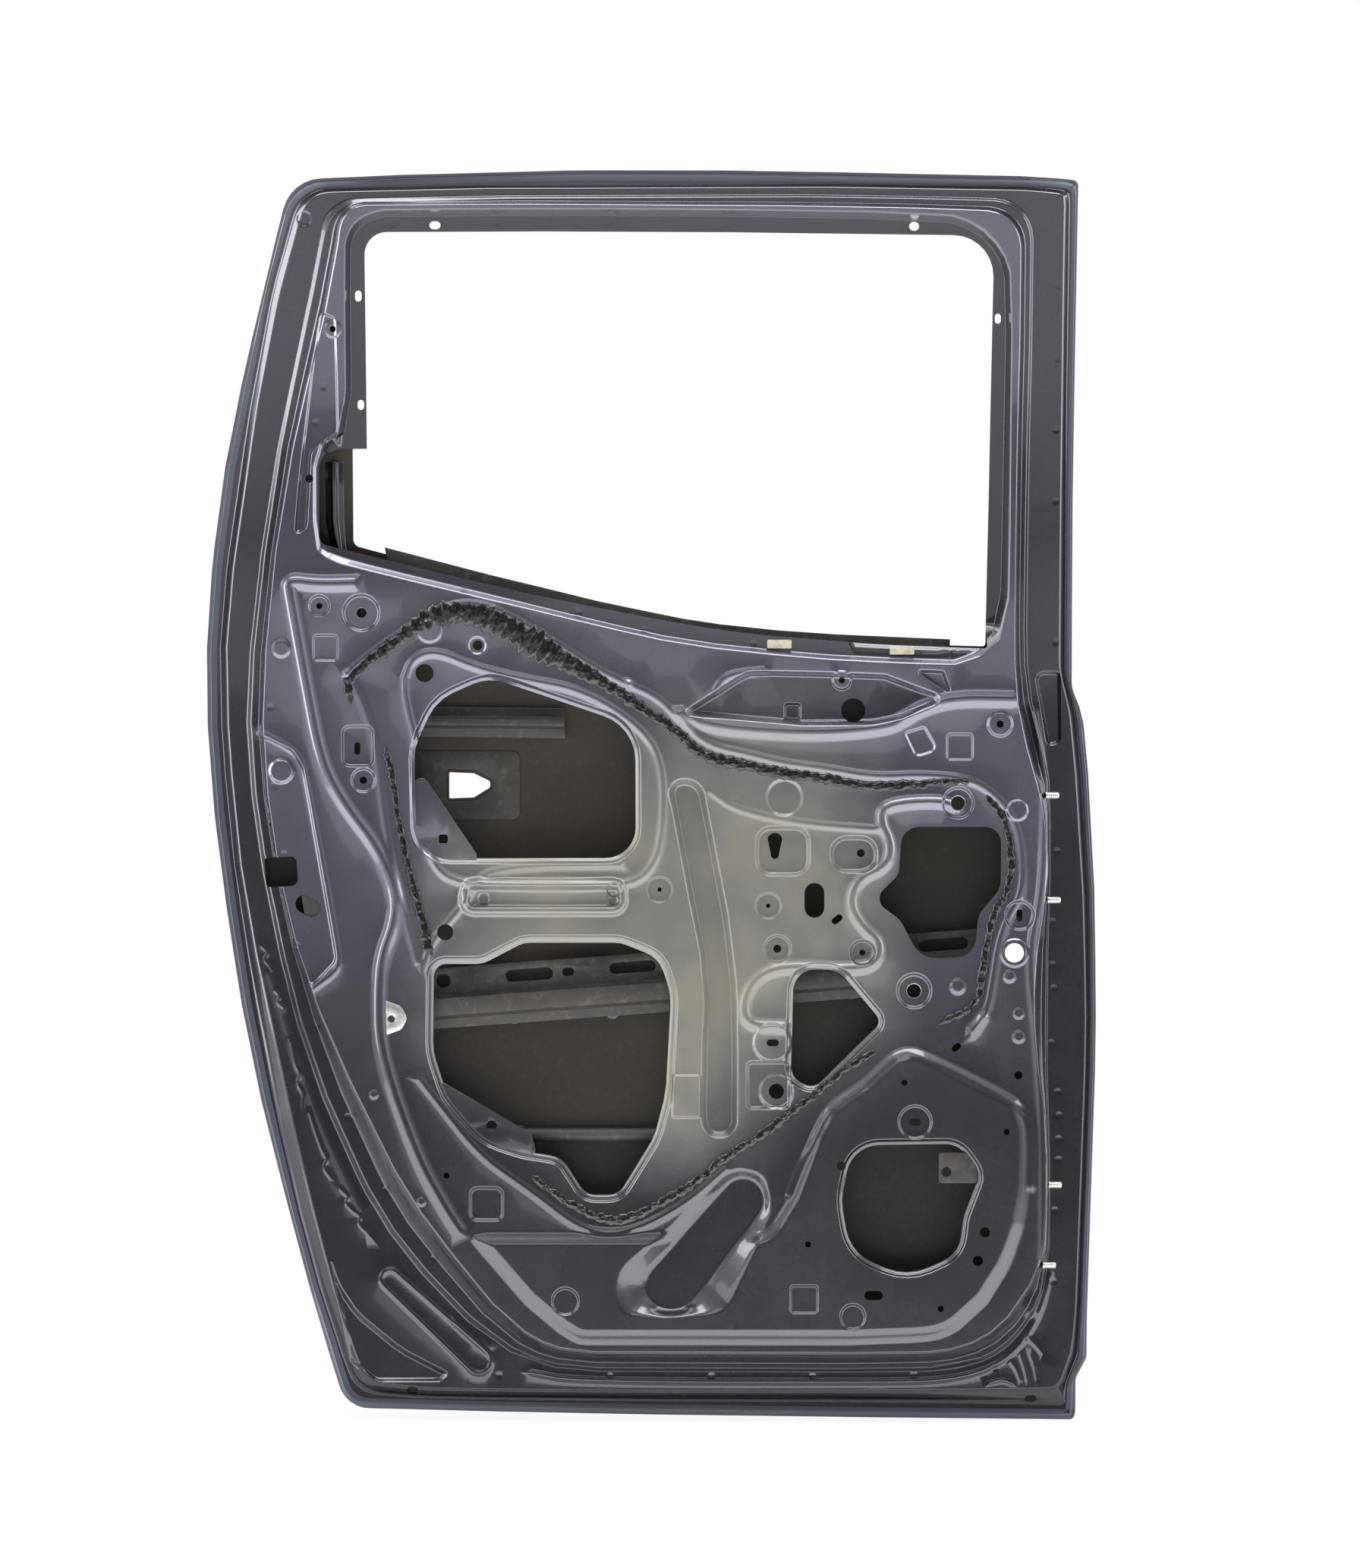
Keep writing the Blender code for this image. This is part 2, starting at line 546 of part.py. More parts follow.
def prism(name, outline, near, far, root, look, slope=None):
    """A solid between two levels (mm towards the cabin) over an outline in the door's plane."""
    outline = list(outline)
    area = sum(
        outline[i - 1][0] * outline[i][1] - outline[i][0] * outline[i - 1][1] for i in range(len(outline))
    )
    if area < 0:
        outline.reverse()
    count = len(outline)
    place = slope or (lambda x, z, level: skin_y(x, z) - level)
    vertices = [(x, place(x, z, near), z) for x, z in outline]
    vertices += [(x, place(x, z, far), z) for x, z in outline]
    faces = [(k, (k + 1) % count, count + (k + 1) % count, count + k) for k in range(count)]
    faces += [tuple(reversed(range(count))), tuple(range(count, 2 * count))]
    made = add_object(name, vertices, faces, root, look)
    turn_out(made)
    return made


def flat_place(x0, z0):
    """Levels measured from the skin at one point, so that a small prism has flat faces."""
    base = skin_y(x0, z0)
    return lambda x, z, level: base - level


def strip(name, upper, lower, level, thickness, root, look, bead=0.0):
    """A long plate between two lines of points, its cabin face at a level, with a bead along it."""
    vertices, faces = [], []
    shares = (0.0, 0.3, 0.4, 0.6, 0.7, 1.0) if bead else (0.0, 0.5, 1.0)
    rises = (0.0, 0.0, bead, bead, 0.0, 0.0) if bead else (0.0, 0.0, 0.0)
    for (x1, z1), (x2, z2) in zip(upper, lower):
        for share, rise in zip(shares, rises):
            x, z = x1 + (x2 - x1) * share, z1 + (z2 - z1) * share
            vertices.append((x, skin_y(x, z) - level * frame_share(z) - rise, z))
    wide = len(shares)
    for i in range(len(upper) - 1):
        for j in range(wide - 1):
            k = i * wide + j
            faces.append(facing(vertices, (k, k + 1, k + wide + 1, k + wide), -1))
    return add_object(name, vertices, faces, root, look, thickness)


def rod(name, start, end, radius, root, look, sides=12):
    """A round bar between two points."""
    start, end = Vector(start), Vector(end)
    along = (end - start).normalized()
    across = along.orthogonal().normalized()
    other = along.cross(across)
    vertices = []
    for centre in (start, end):
        for k in range(sides):
            angle = 2 * math.pi * k / sides
            vertices.append(centre + (across * math.cos(angle) + other * math.sin(angle)) * radius)
    faces = [(k, (k + 1) % sides, sides + (k + 1) % sides, sides + k) for k in range(sides)]
    faces += [tuple(reversed(range(sides))), tuple(range(sides, 2 * sides))]
    made = add_object(name, [tuple(v) for v in vertices], faces, root, look, sharp=40.0)
    turn_out(made)
    return made


def inner_panel(root, look):
    """The cabin-side stamping, one sheet from the hem to the window's flange and the belt."""
    main = MAIN_LEVEL
    plate = MAIN_LEVEL + PLATE_RISE
    edge = inset(DOOR_EDGE, 2.4)
    sheet = Stamping(split(rounded(edge)))
    sheet.line(split(rounded(HEM_FOOT)), 0.0)
    sheet.line(rounded(LAND_EDGE), LAND_LEVEL)
    sheet.line(rounded(SHELF_FOOT), LAND_LEVEL)
    sheet.line(rounded(SHELF_EDGE), SHELF_LEVEL)
    sheet.line(rounded(MAIN_FOOT), SHELF_LEVEL)
    sheet.line(rounded(MAIN_EDGE), main)
    sheet.line(split(FLANGE_FOOT, False), FLANGE_LIFT, closed=False)
    sheet.line(split(FRAME_EDGE, False), main, closed=False)
    sheet.line(BELT_RIDGE, main, closed=False)
    sheet.line(BELT_FOOT, BELT_LEVEL, closed=False)
    sheet.line(CAVITY_RIM, main - 5.0, closed=False)

    def aperture_level(x, z):
        if z < 868 and x < 320:
            return BELT_LEVEL
        if x < -320:
            return main - 5.0
        return FLANGE_LIFT

    sheet.cut(split(rounded(APERTURE)), aperture_level)
    for outline, base in (
        (HOLE_UPPER, main), (HOLE_LOWER, main), (HOLE_TRIANGLE, main), (HOLE_SPEAKER, plate),
        (HOLE_WIRING, main),
    ):
        if outline is HOLE_WIRING:
            sheet.cut(rounded(outline))
            continue
        sheet.line(rounded(inset(outline, -LIP_WIDTH)), base)
        sheet.cut(rounded(outline), base - LIP_HEIGHT)
    sheet.form(LOWER_PLATE, 12.0, PLATE_RISE, main)
    sheet.line(rounded(OBLONG_RIM), lambda x, z: main + PLATE_RISE * min(max((190 - z) / 30, 0), 1))
    sheet.line(capsule(OBLONG_TOP, OBLONG_FOOT), plate - OBLONG_DEPTH)
    sheet.form(CHANNEL, 7.0, -6.0, main)
    sheet.form(UPPER_POCKET, 6.0, -7.0, main)
    sheet.form(OVAL_BEAD, 11.0, 6.0, main)
    sheet.form(LATCH_PAD, 4.0, -4.0, main)
    sheet.form(PILLAR_RECESS, 4.0, -5.0, main)
    for x, z, foot, top, rise, base, hole in (
        (-285.2, 798, 20, 15, -4, main, 5.2), (-326.5, 804.7, 12, 8, -3, main, 3),
        (-283.7, 633, 13.5, 9.5, -3, main, 3.7), (-364.7, 642, 14, 9, 3, main - 4, 0),
        (8.7, 525, 14, 11, -3, main, 2.2), (116, 509, 14, 11, -3, main, 2.2),
        (125, 466.5, 15, 11, -4, main, 4),
        (209, 462.7, 14, 10, -4, main, 3), (260, 425, 19, 14, -4, main, 7.5),
        (303.4, 610.5, 17, 13, -4, main, 7.5),
        (344.6, 688.5, 14, 10, 4, main, 3.7), (364, 499.5, 16, 12, -4, main, 0),
        (188.6, 731.7, 11, 7, 3, main - 7, 3.2),
        (260.6, 296, 18, 14, -4, plate, 0), (-84, 120, 15, 11, -3, plate, 0),
        (199, 105, 14, 10, -3, plate, 0),
    ):
        sheet.boss(x, z, foot, top, rise, base, hole)
    for x, z, width, height, rise, base in (
        (-320.5, 763.5, 27, 28.5, -3, main), (-289, 666.7, 34, 43, -5, main),
        (305, 666, 28.5, 28.5, -3, main),
        (130.5, 563, 57, 52, -4, main), (200.5, 559.7, 45, 35, -4, main), (-162, 215, 34, 34, -4, main),
        (151, 122, 30, 30, -3, plate), (116, 332, 46, 50, -5, main),
    ):
        sheet.form(box_outline(x, z, width, height, 6), 3.5, rise, base)
    for x, z, length, width, tilt in (
        (-289.7, 664.5, 6, 12.5, 0), (-338.5, 509, 26, 18, -28), (122.7, 569, 15, 14.9, 0),
        (161.6, 514.5, 34.5, 19.5, 90),
        (184, 495.7, 12, 6.5, 40), (120.4, 374, 12, 6.8, 0), (364, 499.5, 12, 6, 90),
        (260.6, 296, 11.5, 7, 0),
        (219.4, 126, 18, 9, 0), (301.5, 369.5, 10, 6, 40),
    ):
        lie = tilt + (90 if width > length else 0)
        sheet.cut(rounded(slot_outline(x, z, max(length, width), min(length, width), lie), 30))
    for x, z, radius in (
        (-223, 738.7, 9), (-170.5, 766, 6), (200, 702, 12), (207.5, 561, 4), (359, 462.7, 9.2),
        (362.6, 342, 4),
        (188, 253, 4.5), (329, 188, 5), (322, 160, 5), (-202.9, 483, 8), (-201.4, 243, 3), (285.4, 113, 3),
        (155, 176, 3), (250, 335, 3), (350.6, 286.5, 3), (124, 326, 7.5), (-336, 930, 4),
    ):
        sheet.cut(circle(x, z, radius, 8 if radius < 5 else 12))
    sheet.cut(rounded(LATCH_MOUTH))
    for x, z, length, width, tilt in FLANGE_SLOTS:
        sheet.cut(rounded(slot_outline(x, z, length, width, tilt), 45))
    made, levels, faces = sheet.build(75.0)
    vertices = [
        (p.x, skin_y(p.x, p.y) - CLEARANCE - SHEET - level * frame_share(p.y), p.y) for p, level in zip(made, levels)
    ]
    vertices, faces = drop_loose(vertices, faces)
    faces = [facing(vertices, face, -1) for face in faces]
    return add_object("inner_panel", vertices, faces, root, look, SHEET)


OUTER_APERTURE = [
    (-281.6, 1172, 22), (-12, 1173.3, SMOOTH), (338, 1168.5, 40), (334.6, 909, SMOOTH), (332, 766, 3),
    (298, 767, 2), (183, 773, SMOOTH), (69, 783, SMOOTH), (32, 788.5, SMOOTH), (-53, 805.5, SMOOTH),
    (-160, 832, SMOOTH), (-266, 858, SMOOTH), (-295, 866, 8), (-295, 961, 1), (-281, 961, 1),
]
HANDLE_MOUTH = [(-200.6, 641, 1), (-200.6, 615, 1), (-176, 616, 2), (-160, 626, 2), (-160, 632, 2),
    (-176, 640, 2)]
FLANGE_SLOTS = [
    (-212, 1178.5, 11, 8, 0), (259, 1177.5, 9.9, 9, 0), (-288, 1110, 11, 6.5, 90),
    (-286.5, 1004, 10, 6.5, 90),
    (342.2, 1088, 10, 6, 90),
]


def outer_panel(root, look):
    """The outer skin, with its edge turned round the inner panel's and back flat on it."""
    sheet = Stamping(split(rounded(inset(DOOR_EDGE, 1.0))))
    sheet.cut(split(rounded(OUTER_APERTURE)))
    sheet.cut(rounded(HANDLE_MOUTH))
    for x, z, length, width, tilt in FLANGE_SLOTS:
        sheet.cut(rounded(slot_outline(x, z, length, width, tilt), 45))
    sheet.line(box_loop(-180, 628, 54, 40), 0.0)
    sheet.line(split(rounded(inset(OUTER_APERTURE, -16.0))), 0.0)
    made, _, faces = sheet.build(95.0)
    vertices = [(p.x, skin_y(p.x, p.y) + SKIN, p.y) for p in made]
    vertices, faces = drop_loose(vertices, faces)
    faces = [facing(vertices, face, 1) for face in faces]
    back = 2 * CLEARANCE + SHEET + SKIN
    rings = []
    skin_edge = rounded(inset(DOOR_EDGE, 1.0))
    for width, out in ((1.0, SKIN), (0.0, SKIN - 0.9), (0.0, 0.9 - back), (1.0, -back), (HEM_WIDTH, -back)):
        rings.append([(x, skin_y(x, z) + out, z) for x, z in split(rounded(inset(DOOR_EDGE, width)), like=skin_edge)])
    count = len(rings[0])
    lookup = {(round(v[0], 2), round(v[2], 2)): k for k, v in enumerate(vertices)}
    places = [[lookup[round(x, 2), round(z, 2)] for x, _, z in rings[0]]]
    for ring in rings[1:]:
        places.append(list(range(len(vertices), len(vertices) + count)))
        vertices += ring
    for inner, outer in zip(places, places[1:]):
        for k in range(count):
            face = (inner[k], inner[(k + 1) % count], outer[(k + 1) % count], outer[k])
            faces.append(face)
    # The turned edge's faces run the way that the skin's own border does.
    border = {(face[i - 1], face[i]) for face in faces[: len(faces) - 4 * count] for i in range(3)}
    if (places[0][0], places[0][1]) in border:
        start = len(faces) - 4 * count
        faces[start:] = [tuple(reversed(face)) for face in faces[start:]]
    return add_object("outer_panel", vertices, faces, root, look, SKIN)


def box_loop(x, z, width, height):
    return rounded(box_outline(x, z, width, height, 6), 45)


def plate(name, corners, level, thickness, root, look, holes=(), pitch=45.0, shared=True):
    """A flat pressing that follows the door's curve, with its cabin face at this level."""
    sheet = Stamping(split(rounded(corners)))
    for hole in holes:
        sheet.cut(hole)
    made, _, faces = sheet.build(pitch)
    share = frame_share if shared else (lambda z: 1.0)
    vertices = [(p.x, skin_y(p.x, p.y) - level * share(p.y), p.y) for p in made]
    vertices, faces = drop_loose(vertices, faces)
    faces = [facing(vertices, face, -1) for face in faces]
    return add_object(name, vertices, faces, root, look, thickness)


def right_side(corners, z):
    """Where an outline's hinge side lies at this height."""
    points = rounded(corners)
    found = []
    for i, (x2, z2) in enumerate(points):
        x1, z1 = points[i - 1]
        if (z1 - z) * (z2 - z) <= 0 and z1 != z2:
            found.append(x1 + (x2 - x1) * (z - z1) / (z2 - z1))
    return max(found)


BEAM_START = (-316.0, 409.0)
BEAM_END = (372.0, 459.0)
BEAM_SHEET = 1.6
BEAM_SECTION = [(30, 0), (4, 0), (0, 14), (-17, 14), (-21, 0), (-30, 0)]
BRACKET_SHEET = 1.5


def impact_beam(root, look):
    """A pressed hat section across the door, following the skin, with slots in its wide flange."""
    base = LAND_LEVEL + CLEARANCE + BEAM_SHEET
    stations = 11
    vertices, faces = [], []
    for i in range(stations):
        t = i / (stations - 1)
        x = BEAM_START[0] + (BEAM_END[0] - BEAM_START[0]) * t
        z = BEAM_START[1] + (BEAM_END[1] - BEAM_START[1]) * t
        for up, rise in BEAM_SECTION:
            vertices.append((x, skin_y(x, z + up) - base - rise, z + up))
    wide = len(BEAM_SECTION)
    for i in range(stations - 1):
        for j in range(wide - 1):
            k = i * wide + j
            faces.append(facing(vertices, (k, k + 1, k + wide + 1, k + wide), -1))
    beam = add_object("impact_beam", vertices, faces, root, look, BEAM_SHEET)
    slots = []
    slot_sizes = ((-206, 14, 13.9), (-120.6, 47, 12), (-82, 12, 8), (-18, 46, 11), (290, 49, 12))
    slope = (BEAM_END[1] - BEAM_START[1]) / (BEAM_END[0] - BEAM_START[0])
    for number, (x, length, height) in enumerate(slot_sizes):
        z = BEAM_START[1] + (x - BEAM_START[0]) * slope + 17
        outline = rounded(slot_outline(x, z, length, height, 4.2), 30)
        slots.append(prism(f"beam_slot_cutter_{number}", outline, base - 8, base + 8, root, look))
    cut_from(beam, slots)


def hinge_plate(name, low, high, root, look):
    """The thick plate behind the hinge wall that the studs are welded to."""
    thick, rows = 3.0, 4
    vertices = []
    for i in range(rows + 1):
        z = low + (high - low) * i / rows
        foot = right_side(MAIN_FOOT, z)
        face = right_side(MAIN_EDGE, z)
        for share in (0.12, 0.88):
            x = foot + (face - foot) * share - SEAT - SHEET - CLEARANCE
            level = SHELF_LEVEL + (MAIN_LEVEL - SHELF_LEVEL) * share
            vertices.append((x, skin_y(x, z) - level, z))
    faces = []
    for i in range(rows):
        k = 2 * i
        faces.append((k, k + 2, k + 3, k + 1))
    made = add_object(name, vertices, faces, root, look, thick)
    if made.data.polygons[0].normal.x < 0:
        made.data.flip_normals()
    return made


def stud(name, z, level, root, look):
    """A weld stud standing out of the hinge wall, its head just clear of the pressed sheet."""
    length, radius = 13.0, 3.6
    low = right_side(MAIN_FOOT, z)
    lean = (right_side(MAIN_EDGE, z) - low) / (MAIN_LEVEL - SHELF_LEVEL)
    foot = low + lean * (level - CLEARANCE - SHEET - radius - SHELF_LEVEL) + SEAT
    y = skin_y(foot, z) - level
    return rod(name, (foot, y, z), (foot + length, y, z), radius, root, look)


def sealant(name, path, root, look):
    """A run of butyl pressed on the main face: a flat-footed bead along a line of (x, z, width, height)."""
    base = CLEARANCE + SHEET + SEAT
    vertices, faces = [], []
    count = len(path)
    for i, (x, z, width, height) in enumerate(path):
        x1, z1 = path[max(i - 1, 0)][:2]
        x2, z2 = path[min(i + 1, count - 1)][:2]
        across = Vector((z1 - z2, x2 - x1)).normalized() * (width / 2)
        foot = skin_y(x, z) - base - MAIN_LEVEL * frame_share(z) - (UPPER_BEAD_LIFT if z > UPPER_BEAD_Z else 0.0)
        for side, rise in ((1, 0.0), (0.6, height), (-0.6, height), (-1, 0.0)):
            vertices.append((x + across.x * side, foot - rise, z + across.y * side))
    for i in range(count - 1):
        k = 4 * i
        faces += [(k + j, k + j + 1, k + j + 5, k + j + 4) for j in range(3)]
        faces.append((k + 3, k, k + 4, k + 7))
    faces += [(3, 2, 1, 0), (4 * count - 4, 4 * count - 3, 4 * count - 2, 4 * count - 1)]
    made = add_object(name, vertices, faces, root, look)
    turn_out(made)
    return made


def turn_out(made):
    """Faces out, whichever way round the object was drawn."""
    mesh = made.data
    mesh.calc_loop_triangles()
    volume = 0.0
    for triangle in mesh.loop_triangles:
        a, b, c = (mesh.vertices[i].co for i in triangle.vertices)
        volume += a.dot(b.cross(c))
    if volume < 0:
        mesh.flip_normals()


SEALANT_RUNS = {
    "sealant_top": [
        (-295, 712, 8, 2.5), (-300, 732, 9, 2.5), (-284, 746, 9, 2.5), (-262, 760, 9, 3),
        (-236, 776, 10, 3),
        (-222, 790, 10, 3), (-193, 800, 19, 4), (-163, 794, 16, 4), (-130, 775, 21, 4), (-98, 757, 18, 4),
        (-58, 735, 13, 3),
    ],
    "sealant_middle": [
        (-30, 720, 9, 3), (-8, 703, 11, 3), (14, 690, 10, 3), (34, 672, 9, 3), (56, 655, 12, 3.5),
        (90, 648, 11, 3.5),
        (130, 640, 11, 3), (170, 635, 10, 3), (200, 629, 9, 3), (230, 625, 10, 3.5), (262, 627, 10, 3.5),
    ],
    "sealant_right": [
        (331, 618, 8, 3), (342, 604, 8, 3), (352, 590, 8, 3), (356.5, 550, 8, 3), (352, 520, 8, 3),
        (338, 502, 8, 3), (331, 470, 8, 3), (327, 436, 8, 3), (321, 410, 7, 3), (284, 392, 6, 2.5),
    ],
    "sealant_lower": [
        (222, 366, 7, 2.5), (188, 345, 7, 2.5), (158, 320, 8, 3), (122, 292, 9, 3), (96, 275, 9, 3),
        (76, 262, 8, 3),
        (34, 229, 9, 2.5), (-14, 203, 9, 3), (-40, 198, 11, 3.5), (-62, 205, 8, 2.5), (-96, 226, 7, 2.5),
        (-118, 243, 7, 2.5),
    ],
    "sealant_left": [
        (-218.5, 455, 9, 3), (-220, 472, 12, 3), (-227, 500, 9, 3), (-234, 530, 8, 3), (-242, 556, 7, 2.5),
        (-248, 588, 7, 2.5), (-254, 630, 7, 2.5), (-262, 668, 7, 2.5),
    ],
}


def main():
    for old in list(bpy.data.objects):
        bpy.data.objects.remove(old)
    root = bpy.data.objects.new("door_frame", None)
    bpy.context.scene.collection.objects.link(root)
    root.location = (-HINGE_X * MM, -(skin_y(HINGE_X, HINGE_Z) - HINGE_LEVEL) * MM, -HINGE_Z * MM)

    paint = material("slate_paint", (0.07, 0.07, 0.085), 0.3)
    cavity = material("thin_primer", (0.10, 0.09, 0.075), 0.6)
    steel = material("bare_steel", (0.55, 0.54, 0.5), 0.35, 1.0)
    butyl = material("black_butyl", (0.02, 0.02, 0.022), 0.3)
    tape = material("beige_tape", (0.5, 0.46, 0.34), 0.8)
    white = material("white_plug", (0.9, 0.9, 0.9), 0.4)

    inner_panel(root, paint)
    outer_panel(root, paint)
    strip(
        "belt_reinforcement_outer",
        [(-264, 864), (-212, 850.5), (-160, 837), (-106, 824), (-53, 811), (-10, 802), (32, 793.5),
         (69, 788), (126, 782), (183, 778), (240, 775.5), (297, 773)],
        [(-256, 822), (-205, 809), (-154, 796), (-102, 782), (-50, 769), (-8, 760), (34, 752),
         (70, 747), (126, 740), (183, 736), (240, 733), (297, 731)],
        CLEARANCE + SEAT + 1.2, 1.2, root, cavity, bead=4.0,
    )
    strip(
        "belt_reinforcement_inner",
        [(-236, 841), (-200, 832), (-164, 822.5), (-115, 811), (-66, 801.5), (-18, 791), (32, 782.5),
         (69, 777), (120, 771), (170, 766.5), (220, 763.5), (268, 761.5)],
        [(-243, 812), (-206, 803), (-168, 793), (-118, 781), (-68, 769), (-20, 759), (30, 751),
         (69, 745), (120, 738.5), (170, 734), (220, 731), (268, 729)],
        BELT_LEVEL - CLEARANCE, 1.2, root, cavity,
    )
    impact_beam(root, cavity)
    rear = [(-361, 368, 8), (-380, 446, 8), (-318, 446, 14), (-300, 426, 8), (-300, 388, 8),
    (-318, 368, 14)]
    front = [(424, 420, 8), (424, 498, 8), (352, 498, 14), (334, 478, 8), (334, 440, 8), (352, 420, 14)]
    plate("impact_beam_rear_bracket", rear, LAND_LEVEL, BRACKET_SHEET, root, cavity, pitch=60)
    plate("impact_beam_front_bracket", front, LAND_LEVEL, BRACKET_SHEET, root, cavity, pitch=60)
    hinge_plate("hinge_reinforcement_upper", 505, 628, root, cavity)
    hinge_plate("hinge_reinforcement_lower", 160, 252, root, cavity)
    for number, z in enumerate((618, 514.5, 233, 154), 1):
        stud(f"hinge_stud_{number}", z, SHELF_LEVEL + 6.5, root, steel)

    main_back = MAIN_LEVEL + CLEARANCE
    mouth = rounded(inset(LATCH_MOUTH, -2.0))
    plate(
        "latch_reinforcement",
        [(-352, 652, 10), (-318, 645, 10), (-306, 470, 10), (-326, 448, 10), (-336, 462, 10),
         (-345, 520, 6), (-345, 566, 6), (-356, 600, 10)],
        main_back - 4.0 - SEAT, 1.5, root, cavity, pitch=50,
    )
    plate(
        "handle_gusset",
        [(-262, 600, 6), (-226, 640, 8), (-172, 560, 6), (-172, 545, 6), (-250, 545, 6)],
        main_back - LIP_HEIGHT - SEAT, 1.2, root, cavity, holes=[rounded(box_outline(-205, 575, 9, 9, 2), 45)],
    )
    plate(
        "lower_gusset",
        [(-210, 338, 6), (-118, 284, 6), (-112, 262, 6), (-166, 262, 8), (-212, 312, 8)],
        main_back - LIP_HEIGHT - SEAT, 1.2, root, cavity, holes=[circle(-157, 292, 5.5)],
    )
    plate(
        "speaker_bracket",
        [(284, 266, 3), (322, 266, 3), (322, 236, 3), (284, 236, 3)],
        main_back + PLATE_RISE - LIP_HEIGHT - SEAT, 1.5, root, cavity, holes=[circle(291.5, 247, 5)],
    )
    plate(
        "trim_nut_plate",
        [(-266, 417, 3), (-246, 410, 8), (-240, 398, 8), (-246, 387, 8), (-266, 380, 3)],
        MAIN_LEVEL + SHEET + CLEARANCE + SEAT + 1.2, 1.2, root, steel, holes=[circle(-256, 397.5, 3.7)],
    )
    rail_z = 691.0
    strip(
        "handle_rail",
        [(-270, rail_z + 15), (-220, rail_z + 15), (-170, rail_z + 14.5), (-120, rail_z + 14),
         (-85, rail_z + 13.5)],
        [(-270, rail_z - 15), (-220, rail_z - 15), (-170, rail_z - 15.5), (-120, rail_z - 16),
         (-85, rail_z - 16.5)],
        8.0, 1.5, root, cavity, bead=14.0,
    )
    handle_back = CLEARANCE + SEAT
    plate(
        "handle_reinforcement",
        [(-245, 662, 8), (-130, 662, 8), (-130, 594, 8), (-245, 594, 8)],
        handle_back + 1.2, 1.2, root, cavity, holes=[rounded(inset(HANDLE_MOUTH, -3.0))],
    )
    under_rail, under_beam, under_bar = 8 - 1.5 - SEAT, 7.0, 4.2
    pads = (
        (-250, 691, under_rail), (-105, 690, under_rail), (-136, 399, under_beam), (-38, 404, under_beam),
        (120, 419, under_beam), (240, 427, under_beam), (-130, 281, under_bar), (60, 281, under_bar),
    )
    for number, (x, z, top) in enumerate(pads, 1):
        prism(f"mastic_pad_{number}", circle(x, z, 9, 10), SEAT, top, root, butyl)
    bar_radius = 7.0
    start, end = (-176.0, 281.0), (120.0, 281.0)
    bar_y = skin_y(0, 281) - 4.5 - SEAT - bar_radius
    rod("lower_stiffener", (start[0], bar_y, start[1]), (end[0], bar_y, end[1]), bar_radius, root, cavity, 14)
    strip(
        "rear_run_channel",
        [(-322, 948), (-322, 920), (-322, 890), (-318, 868), (-312, 850), (-306, 820), (-302, 790),
         (-299, 750), (-297, 710)],
        [(-304, 948), (-304, 920), (-304, 890), (-302, 862), (-296, 846), (-290, 818), (-286, 788),
         (-283, 750), (-281, 710)],
        CLEARANCE + SEAT + 1.0, 1.0, root, cavity, bead=11.0,
    )
    for name, path in SEALANT_RUNS.items():
        sealant(name, path, root, butyl)
    tape_seat = BELT_LEVEL + SHEET + CLEARANCE + SEAT
    for number, (x, z) in enumerate(((127, 767.4), (248, 761.4)), 1):
        prism(
            f"belt_tape_{number}", rounded(box_outline(x, z, 24, 8.6, 1.0), 45),
            tape_seat, tape_seat + 1.5, root, tape, flat_place(x, z),
        )
    plug_x, plug_z, plug_radius = 359.0, 462.7, 9.6
    plug_seat = MAIN_LEVEL + SHEET + CLEARANCE + SEAT
    prism(
        "hole_plug", circle(plug_x, plug_z, plug_radius, 20),
        plug_seat - 0.2, plug_seat + 2.0, root, white, flat_place(plug_x, plug_z),
    )
    nuts = (
        (-285.2, 798, -4), (125, 466.5, -4), (209, 462.7, -4),
        (260, 425, -4), (303.4, 610.5, -4), (344.6, 688.5, 4),
    )
    for number, (x, z, level) in enumerate(nuts, 1):
        back = MAIN_LEVEL + level - CLEARANCE
        face = back - SEAT + CLEARANCE
        prism(f"weld_nut_{number}", circle(x, z, 9.5, 6), face, back - 5.0, root, steel, flat_place(x, z))


main()
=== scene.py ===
"""Looks for the bare shell of a rear side door, dressed over its solids.

The door stands in its own plane: x across, z up, and a level in millimetres from the outer
skin towards the cabin, which is -Y. Each pressed sheet is a field of levels over that plane,
worked out from signed distances to the lines it is drawn with, and meshed between those lines.
"""

import math

import bpy
import numpy as np
from bpy.props import FloatProperty, FloatVectorProperty, IntProperty, PointerProperty
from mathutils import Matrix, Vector
from mathutils.geometry import delaunay_2d_cdt


